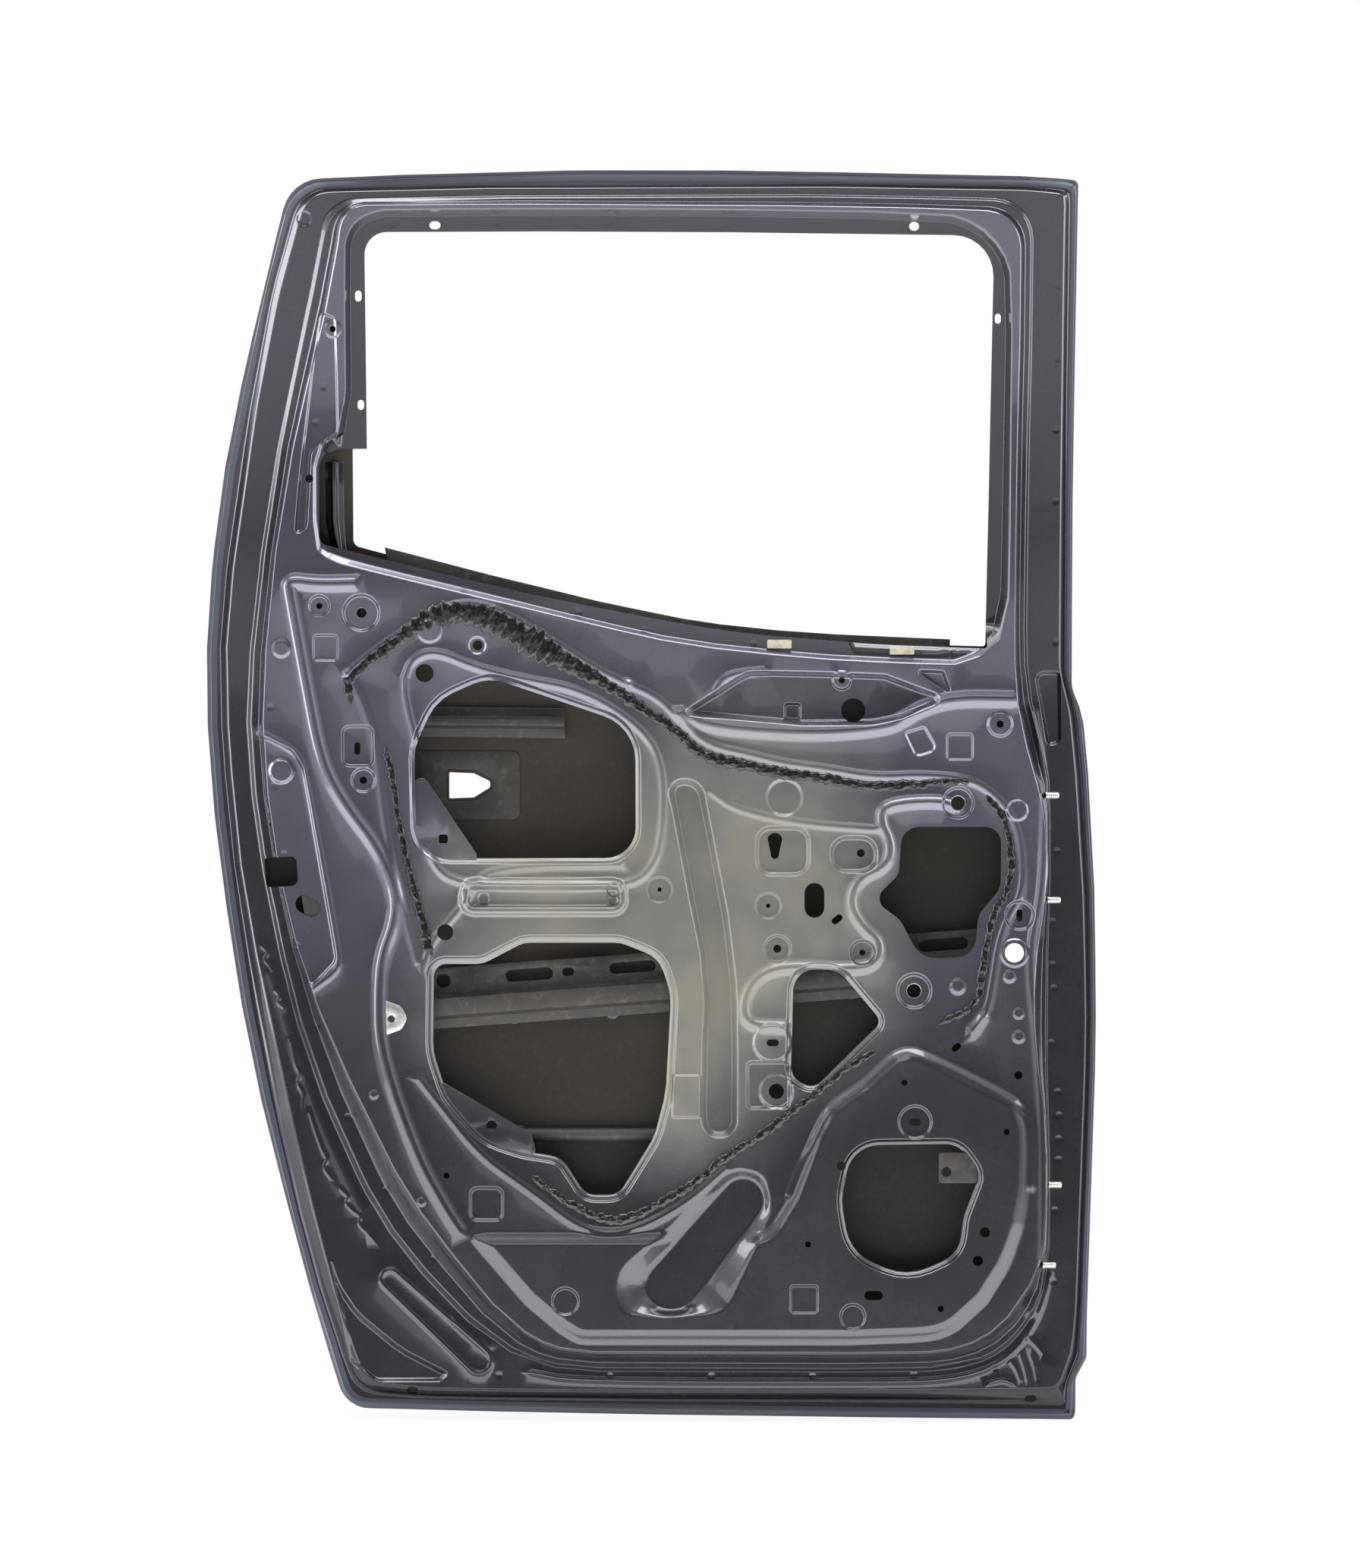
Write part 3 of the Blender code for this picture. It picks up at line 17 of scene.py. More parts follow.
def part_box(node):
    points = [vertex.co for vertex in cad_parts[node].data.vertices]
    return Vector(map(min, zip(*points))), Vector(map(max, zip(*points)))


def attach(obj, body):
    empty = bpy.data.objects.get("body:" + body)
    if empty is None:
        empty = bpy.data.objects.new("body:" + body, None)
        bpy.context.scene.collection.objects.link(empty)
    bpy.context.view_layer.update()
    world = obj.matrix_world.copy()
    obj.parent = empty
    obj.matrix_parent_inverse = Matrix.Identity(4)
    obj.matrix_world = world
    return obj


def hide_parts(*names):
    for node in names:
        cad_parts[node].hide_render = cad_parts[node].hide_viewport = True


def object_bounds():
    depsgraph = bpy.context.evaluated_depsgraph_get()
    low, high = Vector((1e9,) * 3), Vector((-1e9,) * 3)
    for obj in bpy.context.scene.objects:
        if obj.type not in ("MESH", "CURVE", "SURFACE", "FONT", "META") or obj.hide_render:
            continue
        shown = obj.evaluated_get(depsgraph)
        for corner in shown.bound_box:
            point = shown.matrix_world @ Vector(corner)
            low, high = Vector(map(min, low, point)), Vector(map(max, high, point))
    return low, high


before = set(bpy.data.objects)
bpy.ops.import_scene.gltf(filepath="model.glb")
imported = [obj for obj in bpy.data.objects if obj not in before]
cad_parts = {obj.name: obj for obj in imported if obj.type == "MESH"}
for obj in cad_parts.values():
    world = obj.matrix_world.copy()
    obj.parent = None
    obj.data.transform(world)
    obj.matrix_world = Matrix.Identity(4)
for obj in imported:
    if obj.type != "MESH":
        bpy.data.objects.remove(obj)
CAD_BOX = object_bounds()

bl_info = {
    "name": "Door Shell Looks",
    "version": (1, 0, 0),
    "blender": (4, 5, 0),
    "location": "3D View > Sidebar > Door",
    "description": "Pressed panels, sealant, steel fittings and finishes of a bare side door shell",
    "category": "Object",
}

# Sizes in millimetres, angles in degrees (ARC_STEP and HARD_EDGE) and shares without a unit. A
# level is a height over the outer skin, which leans in above its widest line and tucks in below.
MM = 0.001
WIDEST_ARC = 9999.0
MOST_OF_A_SIDE = 0.49
ARC_STEP = 12.0
HARD_EDGE = 30.0
WIDEST_Z = 550.0
LEAN = 92.0
LEAN_HEIGHT = 682.0
TUCK = 24.0
BOW = 7.0
HALF_WIDTH = 442.0
HINGE_X = 415.0
HINGE_Z = 570.0
HINGE_LEVEL = 40.0
CLEARANCE = 0.3
SHEET = 0.8
SKIN = 0.7
LAND_LEVEL = 16.0
SHELF_LEVEL = 25.0
MAIN_LEVEL = 50.0
PLATE_RISE = 7.0
BELT_LEVEL = 42.0
FLANGE_LIFT = 1.7
FRAME_SHARE = 0.58
FRAME_FOOT_Z = 800.0
FRAME_FULL_Z = 1040.0
LIP_WIDTH = 6.0
LIP_HEIGHT = 3.0
OBLONG_DEPTH = 15.0
PLATE_WALL = 17.0
WELD_RADIUS = 3.0
WELD_DEPTH = 0.45
SEALANT_GAP = 0.15

# Lines of the pressings in the door's plane: x, z and the corner's radius, in millimetres. A
# corner without a radius is an easy bend, rounded as far as its sides allow.
DOOR_EDGE = [
    (-353, 1222, 40), (-163, 1230.5), (5, 1232), (137, 1230.5), (382, 1225), (419.6, 1221, 6),
    (417.8, 909), (418, 724.5, 30), (429, 698, 60), (440, 582), (442.2, 424.5), (442.2, 369),
    (437.6, 241.5), (432, 91), (432, 61, 12), (421, 40.5, 12), (420.4, 7.5, 4), (418.6, 0, 5),
    (227, 1.5), (-73, 5), (-255, 10), (-302, 11, 45), (-329.6, 98), (-349, 166.5), (-370, 247),
    (-399, 361.5), (-414.7, 460), (-428, 546), (-438.4, 643), (-442, 726), (-439.5, 801), (-428.6, 902),
    (-413.6, 984), (-381.4, 1117.5),
]
HEM_FOOT = [
    (-344, 1213, 36), (5, 1221.5), (380, 1215), (413, 1213, 8), (411.8, 909), (411.8, 733, 30),
    (422.6, 696, 60), (433.8, 579), (436, 424.5), (436, 369), (431.3, 241.5), (425.6, 99),
    (423.5, 64, 12), (412, 37, 10), (411, 14, 5), (227, 16.5), (-73, 17.5), (-253, 21), (-293, 27, 40),
    (-320, 98), (-340, 166.5), (-361, 247), (-384, 354), (-409, 504), (-421, 594), (-430, 726),
    (-427, 804), (-412.5, 909), (-389.5, 1053), (-364, 1156),
]
LAND_EDGE = [
    (-334, 1208, 30), (5, 1216.5), (378, 1210), (404, 1205, 8), (404, 909), (403.5, 745, 30),
    (414, 700, 60), (426, 579), (430, 424.5), (430, 369), (425, 241.5), (419, 99), (414, 66, 14),
    (402, 33, 14), (227, 30), (-73, 30), (-240, 33), (-281, 40, 38), (-304, 98), (-322, 166.5),
    (-343, 247), (-366, 354), (-399, 504), (-411, 594), (-420, 726), (-417, 804), (-401.6, 909),
    (-377.6, 1053), (-353, 1149),
]
SHELF_FOOT = [
    (-320, 1204, 42), (5, 1210.5), (300, 1206), (376, 1203, 52), (377.5, 1104), (374, 909), (373, 766),
    (375, 729), (382, 691), (394, 650), (396.5, 616), (396.5, 522), (394.5, 483), (393.5, 369),
    (393.5, 324), (395.5, 279), (395.5, 204), (395, 150), (383, 108), (350, 66), (303, 49), (227, 47),
    (-73, 48), (-118, 56), (-163, 80), (-208, 121), (-246, 166), (-274, 204), (-311, 279),
    (-341.5, 354), (-362.5, 429), (-379, 504), (-393, 579), (-401, 654), (-403, 726), (-393, 804),
    (-381, 909), (-351, 1053), (-331, 1141),
]
SHELF_EDGE = [
    (-311, 1197, 38), (5, 1206), (298, 1201), (371, 1198, 50), (372.5, 1104), (369, 909), (368, 766),
    (370, 729), (378, 690), (390.5, 649), (394.5, 616), (395, 522), (391.5, 483), (389.5, 369),
    (391, 324), (394, 279), (394, 204), (392, 151), (379, 111), (347, 71), (301, 54.5), (227, 52),
    (-73, 53), (-115, 61), (-158, 85), (-201, 126), (-239, 170), (-267, 208), (-303, 282), (-334, 357),
    (-355, 431), (-371.5, 504), (-385, 579), (-393, 654), (-395, 726), (-385.5, 804), (-374, 909),
    (-343, 1053), (-323, 1137),
]
MAIN_FOOT = [
    (-308, 1200, 34), (5, 1202.5), (297, 1197.5), (368, 1194, 48), (369.5, 1104), (366, 909),
    (365, 766), (367, 729), (374, 687), (387, 646), (392, 616), (393.8, 522), (389, 483), (386.5, 369),
    (389, 324), (392.6, 279), (392.6, 204), (389, 152), (376, 113), (344, 75), (299, 58.5), (227, 56),
    (-73, 57), (-112, 65), (-152, 89), (-190, 131), (-227, 176), (-255, 213), (-291, 285), (-323, 360),
    (-346, 433), (-365, 504), (-379, 579), (-388, 654), (-390, 726), (-381, 804), (-370, 909),
    (-339, 1053), (-319, 1133),
]
MAIN_EDGE = [
    (-300, 1194.5, 26), (5, 1196.5), (294, 1191), (361, 1187, 44), (362.5, 1104), (359, 909),
    (358, 766), (359, 729), (364, 685), (376, 644), (385, 612), (391, 575), (391.5, 522), (383, 483),
    (377.5, 440), (377.5, 369), (386, 324), (390, 285), (390, 204), (382, 154), (364, 120), (335, 88),
    (296, 72), (227, 70), (-73, 71), (-105, 79), (-141, 102), (-176, 143), (-211, 188), (-239, 226),
    (-276, 297), (-312, 372), (-339, 438), (-359, 504), (-373, 579), (-381, 654), (-382, 726),
    (-374, 804), (-363, 909), (-329, 1053), (-308, 1127),
]
APERTURE = [
    (-281.6, 1172, 22), (-12, 1173.3), (338, 1168.5, 40), (334.6, 909), (332, 763, 3), (271, 765),
    (170, 770), (69, 781), (32, 787), (-66, 805.5), (-167, 827), (-248, 847.5), (-326.6, 866, 10),
    (-326.6, 961, 24), (-281, 961, 1),
]
# The belt's ridge and its foot beside the window: x and z.
BELT_RIDGE = [
    (-318, 848), (-268, 835.5), (-161, 810), (-53, 784), (32, 765), (153, 752), (247, 747),
    (318, 745.5),
]
BELT_FOOT = [
    (-312, 856), (-262, 842.5), (-158, 817.5), (-51, 791.5), (33, 772.5), (153, 759.5), (247, 754.5),
    (316, 752.5),
]
# Openings and large forms: x, z and the corner's radius.
HOLE_UPPER = [
    (-231, 556, 34), (-15, 556, 30), (-15.5, 686, 46), (-160, 735, 45), (-212, 712, 50),
    (-233.5, 665, 50),
]
HOLE_LOWER = [
    (-214, 451.5, 12), (-166, 451.5, 25), (-125.6, 472.5, 25), (-30, 472.5, 30), (8, 457.5, 30),
    (20, 421.5, 60), (14.7, 324, 80), (3.4, 281, 40), (-32, 224, 18), (-64, 224, 18), (-88, 261, 25),
    (-125.6, 267, 30), (-163, 279, 60), (-200.6, 322, 60), (-214.8, 365, 60),
]
HOLE_WIRING = [
    (248, 587, 18), (346, 587, 16), (345.4, 526.5, 20), (323, 500, 25), (320, 457.5, 22),
    (266, 457.5, 25), (246.4, 495, 18), (219.4, 515, 12), (245, 540, 15),
]
HOLE_TRIANGLE = [
    (141.4, 447, 22), (185.6, 445.5, 25), (228.4, 394.5, 10), (161, 328.5, 14), (138.4, 339, 18),
]
HOLE_SPEAKER = [
    (198.4, 273, 45), (303.4, 274.5, 25), (324.4, 245, 20), (308, 202.5, 30), (303.4, 166.5, 30),
    (253, 144, 55), (197, 166.5, 45), (188, 219, 60),
]
LATCH_MOUTH = [(-383, 556, 3), (-350, 558, 6), (-348, 529, 7), (-381, 527, 3)]
LOWER_PLATE = [
    (-186, 186, 16), (-152, 146), (-110, 99), (-72, 76, 30), (227, 76), (290, 81), (320, 102),
    (346, 132), (372, 190), (378, 250), (376, 292, 20), (366, 322, 20), (262, 374, 30), (238, 368, 30),
    (208, 340, 20), (172, 315, 20), (156, 285, 20), (134, 226, 14), (112, 190, 20), (-160, 190, 20),
]
OBLONG_RIM = [
    (83, 253, 22), (114, 246, 20), (122, 208, 30), (76, 106, 30), (10, 103, 35), (-38, 106, 25),
    (-35, 150, 40), (20, 196, 60), (55, 232),
]
CHANNEL = [
    (13, 636, 26), (52, 636, 22), (84.6, 468), (88, 400), (87.5, 278, 26), (48, 278, 24), (47, 345),
    (52, 438), (41, 487),
]
UPPER_POCKET = [
    (32, 703, 8), (96, 743, 14), (190, 741), (232, 739, 8), (299, 714, 8), (250, 690), (182, 682.5),
    (107, 690), (36, 695, 6),
]
OVAL_BEAD = [(-191.6, 539, 18), (-20, 539, 18), (-20, 497, 18), (-191.6, 497, 18)]
LATCH_PAD = [
    (-386, 680, 6), (-352, 664, 12), (-341, 645, 12), (-308, 455, 14), (-333, 428, 8), (-366, 446, 8),
    (-378, 560),
]
PILLAR_RECESS = [
    (-326, 1095, 6), (-308, 1088, 8), (-306, 975, 8), (-333, 955, 8), (-337, 880, 12), (-352, 872, 12),
    (-350, 905), (-341, 990),
]
OUTER_APERTURE = [
    (-281.6, 1172, 22), (-12, 1173.3), (338, 1168.5, 40), (334.6, 909), (332, 766, 3), (298, 767, 2),
    (183, 773), (69, 783), (32, 788.5), (-53, 805.5), (-160, 832), (-266, 858), (-295, 866, 8),
    (-295, 961, 1), (-281, 961, 1),
]
HANDLE_MOUTH = [
    (-200.6, 641, 1), (-200.6, 615, 1), (-176, 616, 2), (-160, 626, 2), (-160, 632, 2), (-176, 640, 2),
]
# Slots in the window's flange: centre, length, width and tilt in degrees.
FLANGE_SLOTS = [
    (-212, 1178.5, 11, 8, 0), (259, 1177.5, 9.9, 9, 0), (-288, 1110, 11, 6.5, 90),
    (-286.5, 1004, 10, 6.5, 90), (342.2, 1088, 10, 6, 90),
]

# Runs of sealant: x, z, width and height along each.
SEALANT_RUNS = {
    "sealant_top": [
        (-295, 708, 7, 2.5), (-300, 732, 11, 3), (-284, 746, 12, 3), (-262, 762, 13, 3),
        (-240, 779, 16, 3.5), (-222, 791, 20, 4), (-193, 800, 24, 4.5), (-163, 795, 24, 4.5),
        (-130, 777, 29, 4.5), (-98, 758, 26, 4.5), (-75, 745, 19, 4), (-52, 732, 14, 3.5),
        (-33, 721, 12, 3.5), (-12, 706, 11, 3),
    ],
    "sealant_middle": [
        (-30, 720, 9, 3), (-8, 703, 11, 3), (14, 690, 10, 3), (34, 672, 9, 3), (56, 655, 12, 3.5),
        (90, 648, 11, 3.5), (130, 640, 11, 3), (170, 635, 10, 3), (200, 629, 9, 3), (230, 626, 11, 3.5),
        (262, 628, 10, 3.5), (292, 633, 7, 3), (318, 631, 7, 3),
    ],
    "sealant_right": [
        (331, 618, 8, 3), (342, 604, 8, 3), (352, 590, 8, 3), (356.5, 550, 8, 3), (352, 520, 8, 3),
        (338, 502, 8, 3), (331, 470, 8, 3), (327, 436, 8, 3), (321, 410, 7, 3), (284, 392, 6, 2.5),
    ],
    "sealant_lower": [
        (222, 366, 7, 2.5), (188, 345, 7, 2.5), (158, 320, 8, 3), (122, 292, 9, 3), (96, 275, 9, 3),
        (76, 262, 8, 3), (34, 229, 9, 2.5), (-14, 203, 9, 3), (-40, 198, 11, 3.5), (-62, 205, 8, 2.5),
        (-96, 226, 7, 2.5), (-118, 243, 7, 2.5),
    ],
    "sealant_left": [
        (-218.5, 455, 9, 3), (-220, 472, 12, 3), (-227, 500, 9, 3), (-234, 530, 8, 3),
        (-242, 556, 7, 2.5), (-248, 588, 7, 2.5), (-254, 630, 7, 2.5), (-262, 668, 7, 2.5),
    ],
}


def skin_y(x, z):
    """The inner side of the outer skin in mm: a parabola that leans in above the widest line and
    another that tucks in below it, less a shallow parabola across."""
    rise = np.asarray(z, float) - WIDEST_Z
    lean = np.where(rise > 0, -LEAN * (rise / LEAN_HEIGHT) ** 2, -TUCK * (rise / WIDEST_Z) ** 2)
    return lean - BOW * (np.asarray(x, float) / HALF_WIDTH) ** 2


def frame_share(z):
    """How much of each level the slim window frame keeps: a smooth step down with height."""
    t = np.clip((z - FRAME_FOOT_Z) / (FRAME_FULL_Z - FRAME_FOOT_Z), 0.0, 1.0)
    return 1.0 - (1.0 - FRAME_SHARE) * t * t * (3.0 - 2.0 * t)


def placed(x, y, z):
    """Door-plane millimetres turned to metres, with the hinge line at the origin."""
    origin = skin_y(HINGE_X, HINGE_Z) - HINGE_LEVEL
    return np.column_stack([x - HINGE_X, y - origin, z - HINGE_Z]) * MM


def rounded(corners):
    """A closed outline with each corner turned into an arc: its centre lies on the bisector."""
    points = []
    for k, (x, z, *given) in enumerate(corners):
        radius = given[0] if given else WIDEST_ARC
        here = np.array([x, z], float)
        a = np.array(corners[k - 1][:2]) - here
        b = np.array(corners[(k + 1) % len(corners)][:2]) - here
        long_a, long_b = np.hypot(*a), np.hypot(*b)
        a, b = a / long_a, b / long_b
        turn = math.pi - math.acos(float(np.clip(a @ b, -1, 1)))
        if turn < 0.01:
            points.append(here)
            continue
        reach = min(radius * math.tan(turn / 2), MOST_OF_A_SIDE * long_a, MOST_OF_A_SIDE * long_b)
        middle = here + (a + b) / np.hypot(*(a + b)) * reach / math.tan(turn / 2) / math.cos(turn / 2)
        side = 1.0 if a[1] * b[0] - a[0] * b[1] > 0 else -1.0
        count = max(1, round(math.degrees(turn) / ARC_STEP))
        angles = side * turn * np.arange(count + 1) / count
        arm_x, arm_z = here + a * reach - middle
        c, s = np.cos(angles), np.sin(angles)
        points += list(middle + np.column_stack([arm_x * c - arm_z * s, arm_x * s + arm_z * c]))
    return np.array(points)


def box_outline(x, z, width, height, radius):
    """The corners of an upright rectangle, each with the radius."""
    w, h = width / 2, height / 2
    return [(x - w, z - h, radius), (x + w, z - h, radius), (x + w, z + h, radius), (x - w, z + h, radius)]


def circle(x, z, radius, sides=24):
    """Points at equal angles round a centre."""
    angles = 2 * np.pi * np.arange(sides) / sides
    return np.column_stack([x + radius * np.cos(angles), z + radius * np.sin(angles)])


def slot(x, z, length, width, tilt):
    """A slot: two half circles joined, turned by the tilt in degrees."""
    angles = np.pi * np.arange(9) / 8 - np.pi / 2
    reach = max(length - width, 0.0) / 2
    arc = np.column_stack([reach + width / 2 * np.cos(angles), width / 2 * np.sin(angles)])
    ring = np.vstack([arc, -arc])
    c, s = math.cos(math.radians(tilt)), math.sin(math.radians(tilt))
    return np.column_stack([x + ring[:, 0] * c - ring[:, 1] * s, z + ring[:, 0] * s + ring[:, 1] * c])


def capsule(first, second, sides=14):
    """The outline round two circles (x, z, radius) and their common tangents."""
    (x0, z0, r0), (x1, z1, r1) = first, second
    along = math.atan2(z0 - z1, x0 - x1)
    lean = math.acos((r0 - r1) / math.hypot(x0 - x1, z0 - z1))
    one = along + np.linspace(-lean, lean, sides)
    two = along + np.linspace(lean, 2 * math.pi - lean, sides)
    return np.vstack([
        np.column_stack([x0 + r0 * np.cos(one), z0 + r0 * np.sin(one)]),
        np.column_stack([x1 + r1 * np.cos(two), z1 + r1 * np.sin(two)]),
    ])


def resampled(line, step, closed=True):
    """A line with points added so that no stretch is longer than the step."""
    ends = np.vstack([line, line[:1]]) if closed else np.asarray(line)
    spans = np.hypot(*np.diff(ends, axis=0).T)
    far = np.concatenate([[0.0], np.cumsum(spans)])
    parts = [
        np.linspace(start, end, max(1, math.ceil(span / step)), endpoint=False)
        for start, end, span in zip(far[:-1], far[1:], spans)
    ]
    at = np.concatenate(parts + ([] if closed else [far[-1:]]))
    return np.column_stack([np.interp(at, far, ends[:, 0]), np.interp(at, far, ends[:, 1])])


def segments(line, closed=True):
    """The start and the end points of a line's stretches."""
    line = np.asarray(line, float)
    return (line, np.roll(line, -1, axis=0)) if closed else (line[:-1], line[1:])


def distance(line, x, z, closed=True):
    """Distance to a line in mm: the least over its stretches, and positive inside a closed one."""
    starts, ends = segments(line, closed)
    best = np.full(x.shape, 1e12)
    inside = np.zeros(x.shape, bool)
    for (ax, az), (bx, bz) in zip(starts, ends):
        dx, dz = bx - ax, bz - az
        t = np.clip(((x - ax) * dx + (z - az) * dz) / max(dx * dx + dz * dz, 1e-9), 0, 1)
        best = np.minimum(best, (x - ax - t * dx) ** 2 + (z - az - t * dz) ** 2)
        if closed and dz:
            inside ^= ((az > z) != (bz > z)) & (x < ax + (z - az) * dx / dz)
    far = np.sqrt(best)
    return np.where(inside, far, -far) if closed else far


def near(line, x, z, reach):
    """Which points lie in a line's box, widened by the reach."""
    low, high = np.min(line, axis=0) - reach, np.max(line, axis=0) + reach
    return (x > low[0]) & (x < high[0]) & (z > low[1]) & (z < high[1])


def ramp(t, soft):
    """A straight rise from 0 to 1 whose two ends are parabolas, each the soft share long."""
    q = np.clip(soft, 0.02, 0.5)
    t = np.clip(t, 0, 1)
    low = t * t / (2 * q * (1 - q))
    high = 1 - (1 - t) ** 2 / (2 * q * (1 - q))
    return np.where(t < q, low, np.where(t > 1 - q, high, (t - q / 2) / (1 - q)))


def wall(foot, edge, x, z, fillet=3.5):
    """How far up the wall between a foot line and an edge line each point is, from 0 to 1."""
    below, above = distance(foot, x, z), distance(edge, x, z)
    width = np.maximum(below - above, 1.0)
    t = np.where(below <= 0, 0.0, np.where(above >= 0, 1.0, below / width))
    return ramp(t, fillet / width)


def rows_between(first, second, shares, step):
    """Lines part of the way from one line to another, each point towards the nearest place."""
    first = resampled(first, step)
    starts, ends = segments(second)
    span = ends - starts
    t = np.einsum("nmk,mk->nm", first[:, None] - starts[None], span) / np.maximum((span ** 2).sum(1), 1e-9)
    spots = starts[None] + np.clip(t, 0, 1)[..., None] * span[None]
    pick = ((spots - first[:, None]) ** 2).sum(2).argmin(1)
    goal = spots[np.arange(len(first)), pick]
    return [first + (goal - first) * s for s in shares]


def offset_rows(line, offsets, step, closed=True):
    """Copies of a line moved along its own normals."""
    line = resampled(line, step, closed)
    if closed:
        along = np.roll(line, -1, axis=0) - np.roll(line, 1, axis=0)
    else:
        along = np.gradient(line, axis=0)
    along /= np.maximum(np.hypot(*along.T)[:, None], 1e-9)
    side = np.column_stack([-along[:, 1], along[:, 0]])
    if closed:
        turned = np.roll(line, -1, axis=0)
        if (line[:, 0] * turned[:, 1] - turned[:, 0] * line[:, 1]).sum() < 0:
            side = -side
    return [line + side * o for o in offsets]


WALL_SHARES = (0.0, 0.12, 0.3, 0.5, 0.7, 0.88, 1.0)


class Pressing:
    """A sheet meshed between its drawn lines, with levels and normals from its own field."""

    def __init__(self, border):
        self.border = border
        self.lines = []
        self.holes = []
        self.draw(border)

    def draw(self, line, closed=True):
        """Mesh edges run along this line."""
        self.lines.append((np.asarray(line, float), closed))

    def band(self, rows, closed=True):
        """Mesh edges run along several lines, as on a wall."""
        for row in rows:
            self.draw(row, closed)

    def hole(self, line):
        """The sheet is left out inside this line."""
        self.holes.append(np.asarray(line, float))
        self.draw(line)

    def mesh_plan(self, pitch):
        """Points and triangles in the plane: a triangulation of the lines and a loose lattice."""
        points = np.vstack([line for line, _ in self.lines])
        edges, first = [], 0
        for line, closed in self.lines:
            index = np.arange(first, first + len(line))
            pairs = np.column_stack([index, np.roll(index, -1)])
            edges.append(pairs if closed else pairs[:-1])
            first += len(line)
        low, high = self.border.min(0), self.border.max(0)
        # The lattice keeps clear of the drawn lines: its points in or next to their cells go.
        nx, nz = np.ceil((high - low) / pitch).astype(int)
        i, j = np.meshgrid(np.arange(nx + 1), np.arange(nz + 1))
        grid = np.column_stack([
            (low[0] + (i + 0.5 * (j % 2)) * pitch).ravel(), (low[1] + j * pitch).ravel(),
        ])
        cell = 0.45 * pitch
        first_cell = np.floor(low / cell).astype(int) - 2
        keys = np.floor(grid / cell).astype(int) - first_cell
        used = np.floor(points / cell).astype(int) - first_cell
        taken = np.zeros(keys.max(0) + 3, bool)
        taken[tuple(used.T)] = True
        for axis in (0, 1):
            taken = taken | np.roll(taken, 1, axis) | np.roll(taken, -1, axis)
        grid = grid[~taken[tuple(keys.T)]]
        grid = grid[distance(self.border, grid[:, 0], grid[:, 1]) > 0]
        every = np.vstack([points, grid])
        made, _, faces, _, _, _ = delaunay_2d_cdt(
            [Vector(p) for p in every.tolist()], np.vstack(edges).tolist(), [], 0, 1e-3
        )
        made = np.array([(p.x, p.y) for p in made])
        faces = np.array([f for f in faces if len(f) == 3])
        middle = made[faces].mean(axis=1)
        keep = distance(self.border, middle[:, 0], middle[:, 1]) > 0
        for hole in self.holes:
            box = near(hole, middle[:, 0], middle[:, 1], 0.0)
            box[box] = distance(hole, middle[box, 0], middle[box, 1]) > 0
            keep &= ~box
        faces = faces[keep]
        used, index = np.unique(faces, return_inverse=True)
        return made[used], index.reshape(-1, 3)

    def build(self, name, surface, thickness, pitch, look):
        """The closed sheet: the drawn side, a copy moved inwards along its normals, and the rim.

        surface(x, z) gives y in mm. The normal is the surface's own slope, by small differences."""
        plan, faces = self.mesh_plan(pitch)
        x, z = plan.T
        y = surface(x, z)
        near_by = 0.05
        slope_x = (surface(x + near_by, z) - surface(x - near_by, z)) / (2 * near_by)
        slope_z = (surface(x, z + near_by) - surface(x, z - near_by)) / (2 * near_by)
        normal = np.column_stack([slope_x, -np.ones_like(x), slope_z])
        normal /= np.sqrt((normal ** 2).sum(1))[:, None]
        front = np.column_stack([x, y, z])
        back = front - normal * thickness
        a, b, c = (front[faces[:, k]] for k in range(3))
        flip = np.cross(b - a, c - a)[:, 1] > 0
        faces[flip] = faces[flip][:, ::-1]
        count = len(x)
        sides = np.concatenate([faces[:, [0, 1]], faces[:, [1, 2]], faces[:, [2, 0]]])
        key = np.sort(sides, axis=1)
        _, where, times = np.unique(key, axis=0, return_index=True, return_counts=True)
        rim = sides[where[times == 1]]
        quads = np.column_stack([rim[:, 1], rim[:, 0], rim[:, 0] + count, rim[:, 1] + count])
        corners = np.vstack([front, back])
        p, q, _, s = (corners[quads[:, k]] for k in range(4))
        outward = np.cross(q - p, s - p)
        outward /= np.maximum(np.sqrt((outward ** 2).sum(1)), 1e-9)[:, None]
        facing = np.vstack([
            normal[faces.ravel()], -normal[faces[:, ::-1].ravel()], np.repeat(outward, 4, axis=0),
        ])
        groups = [faces, faces[:, ::-1] + count, quads]
        return add_mesh(name, placed(*corners.T), groups, look, normals=facing)


def add_mesh(name, points, groups, look, sharp=38.0, normals=None):
    """A mesh object from arrays: points in metres and groups of faces with equal corner counts."""
    mesh = bpy.data.meshes.new(name)
    loops = np.concatenate([g.ravel() for g in groups]).astype(np.int32)
    sizes = np.concatenate([np.full(len(g), g.shape[1]) for g in groups])
    mesh.vertices.add(len(points))
    mesh.vertices.foreach_set("co", np.ascontiguousarray(points, np.float32).ravel())
    mesh.loops.add(len(loops))
    mesh.loops.foreach_set("vertex_index", loops)
    mesh.polygons.add(len(sizes))
    mesh.polygons.foreach_set("loop_start", (np.cumsum(sizes) - sizes).astype(np.int32))
    mesh.polygons.foreach_set("use_smooth", np.ones(len(sizes), bool))
    mesh.update(calc_edges=True)
    mesh.validate()
    if normals is None:
        mesh.set_sharp_from_angle(angle=math.radians(sharp))
    else:
        mesh.normals_split_custom_set(normals.tolist())
    mesh.materials.append(look)
    made = bpy.data.objects.new(name, mesh)
    bpy.context.scene.collection.objects.link(made)
    return made


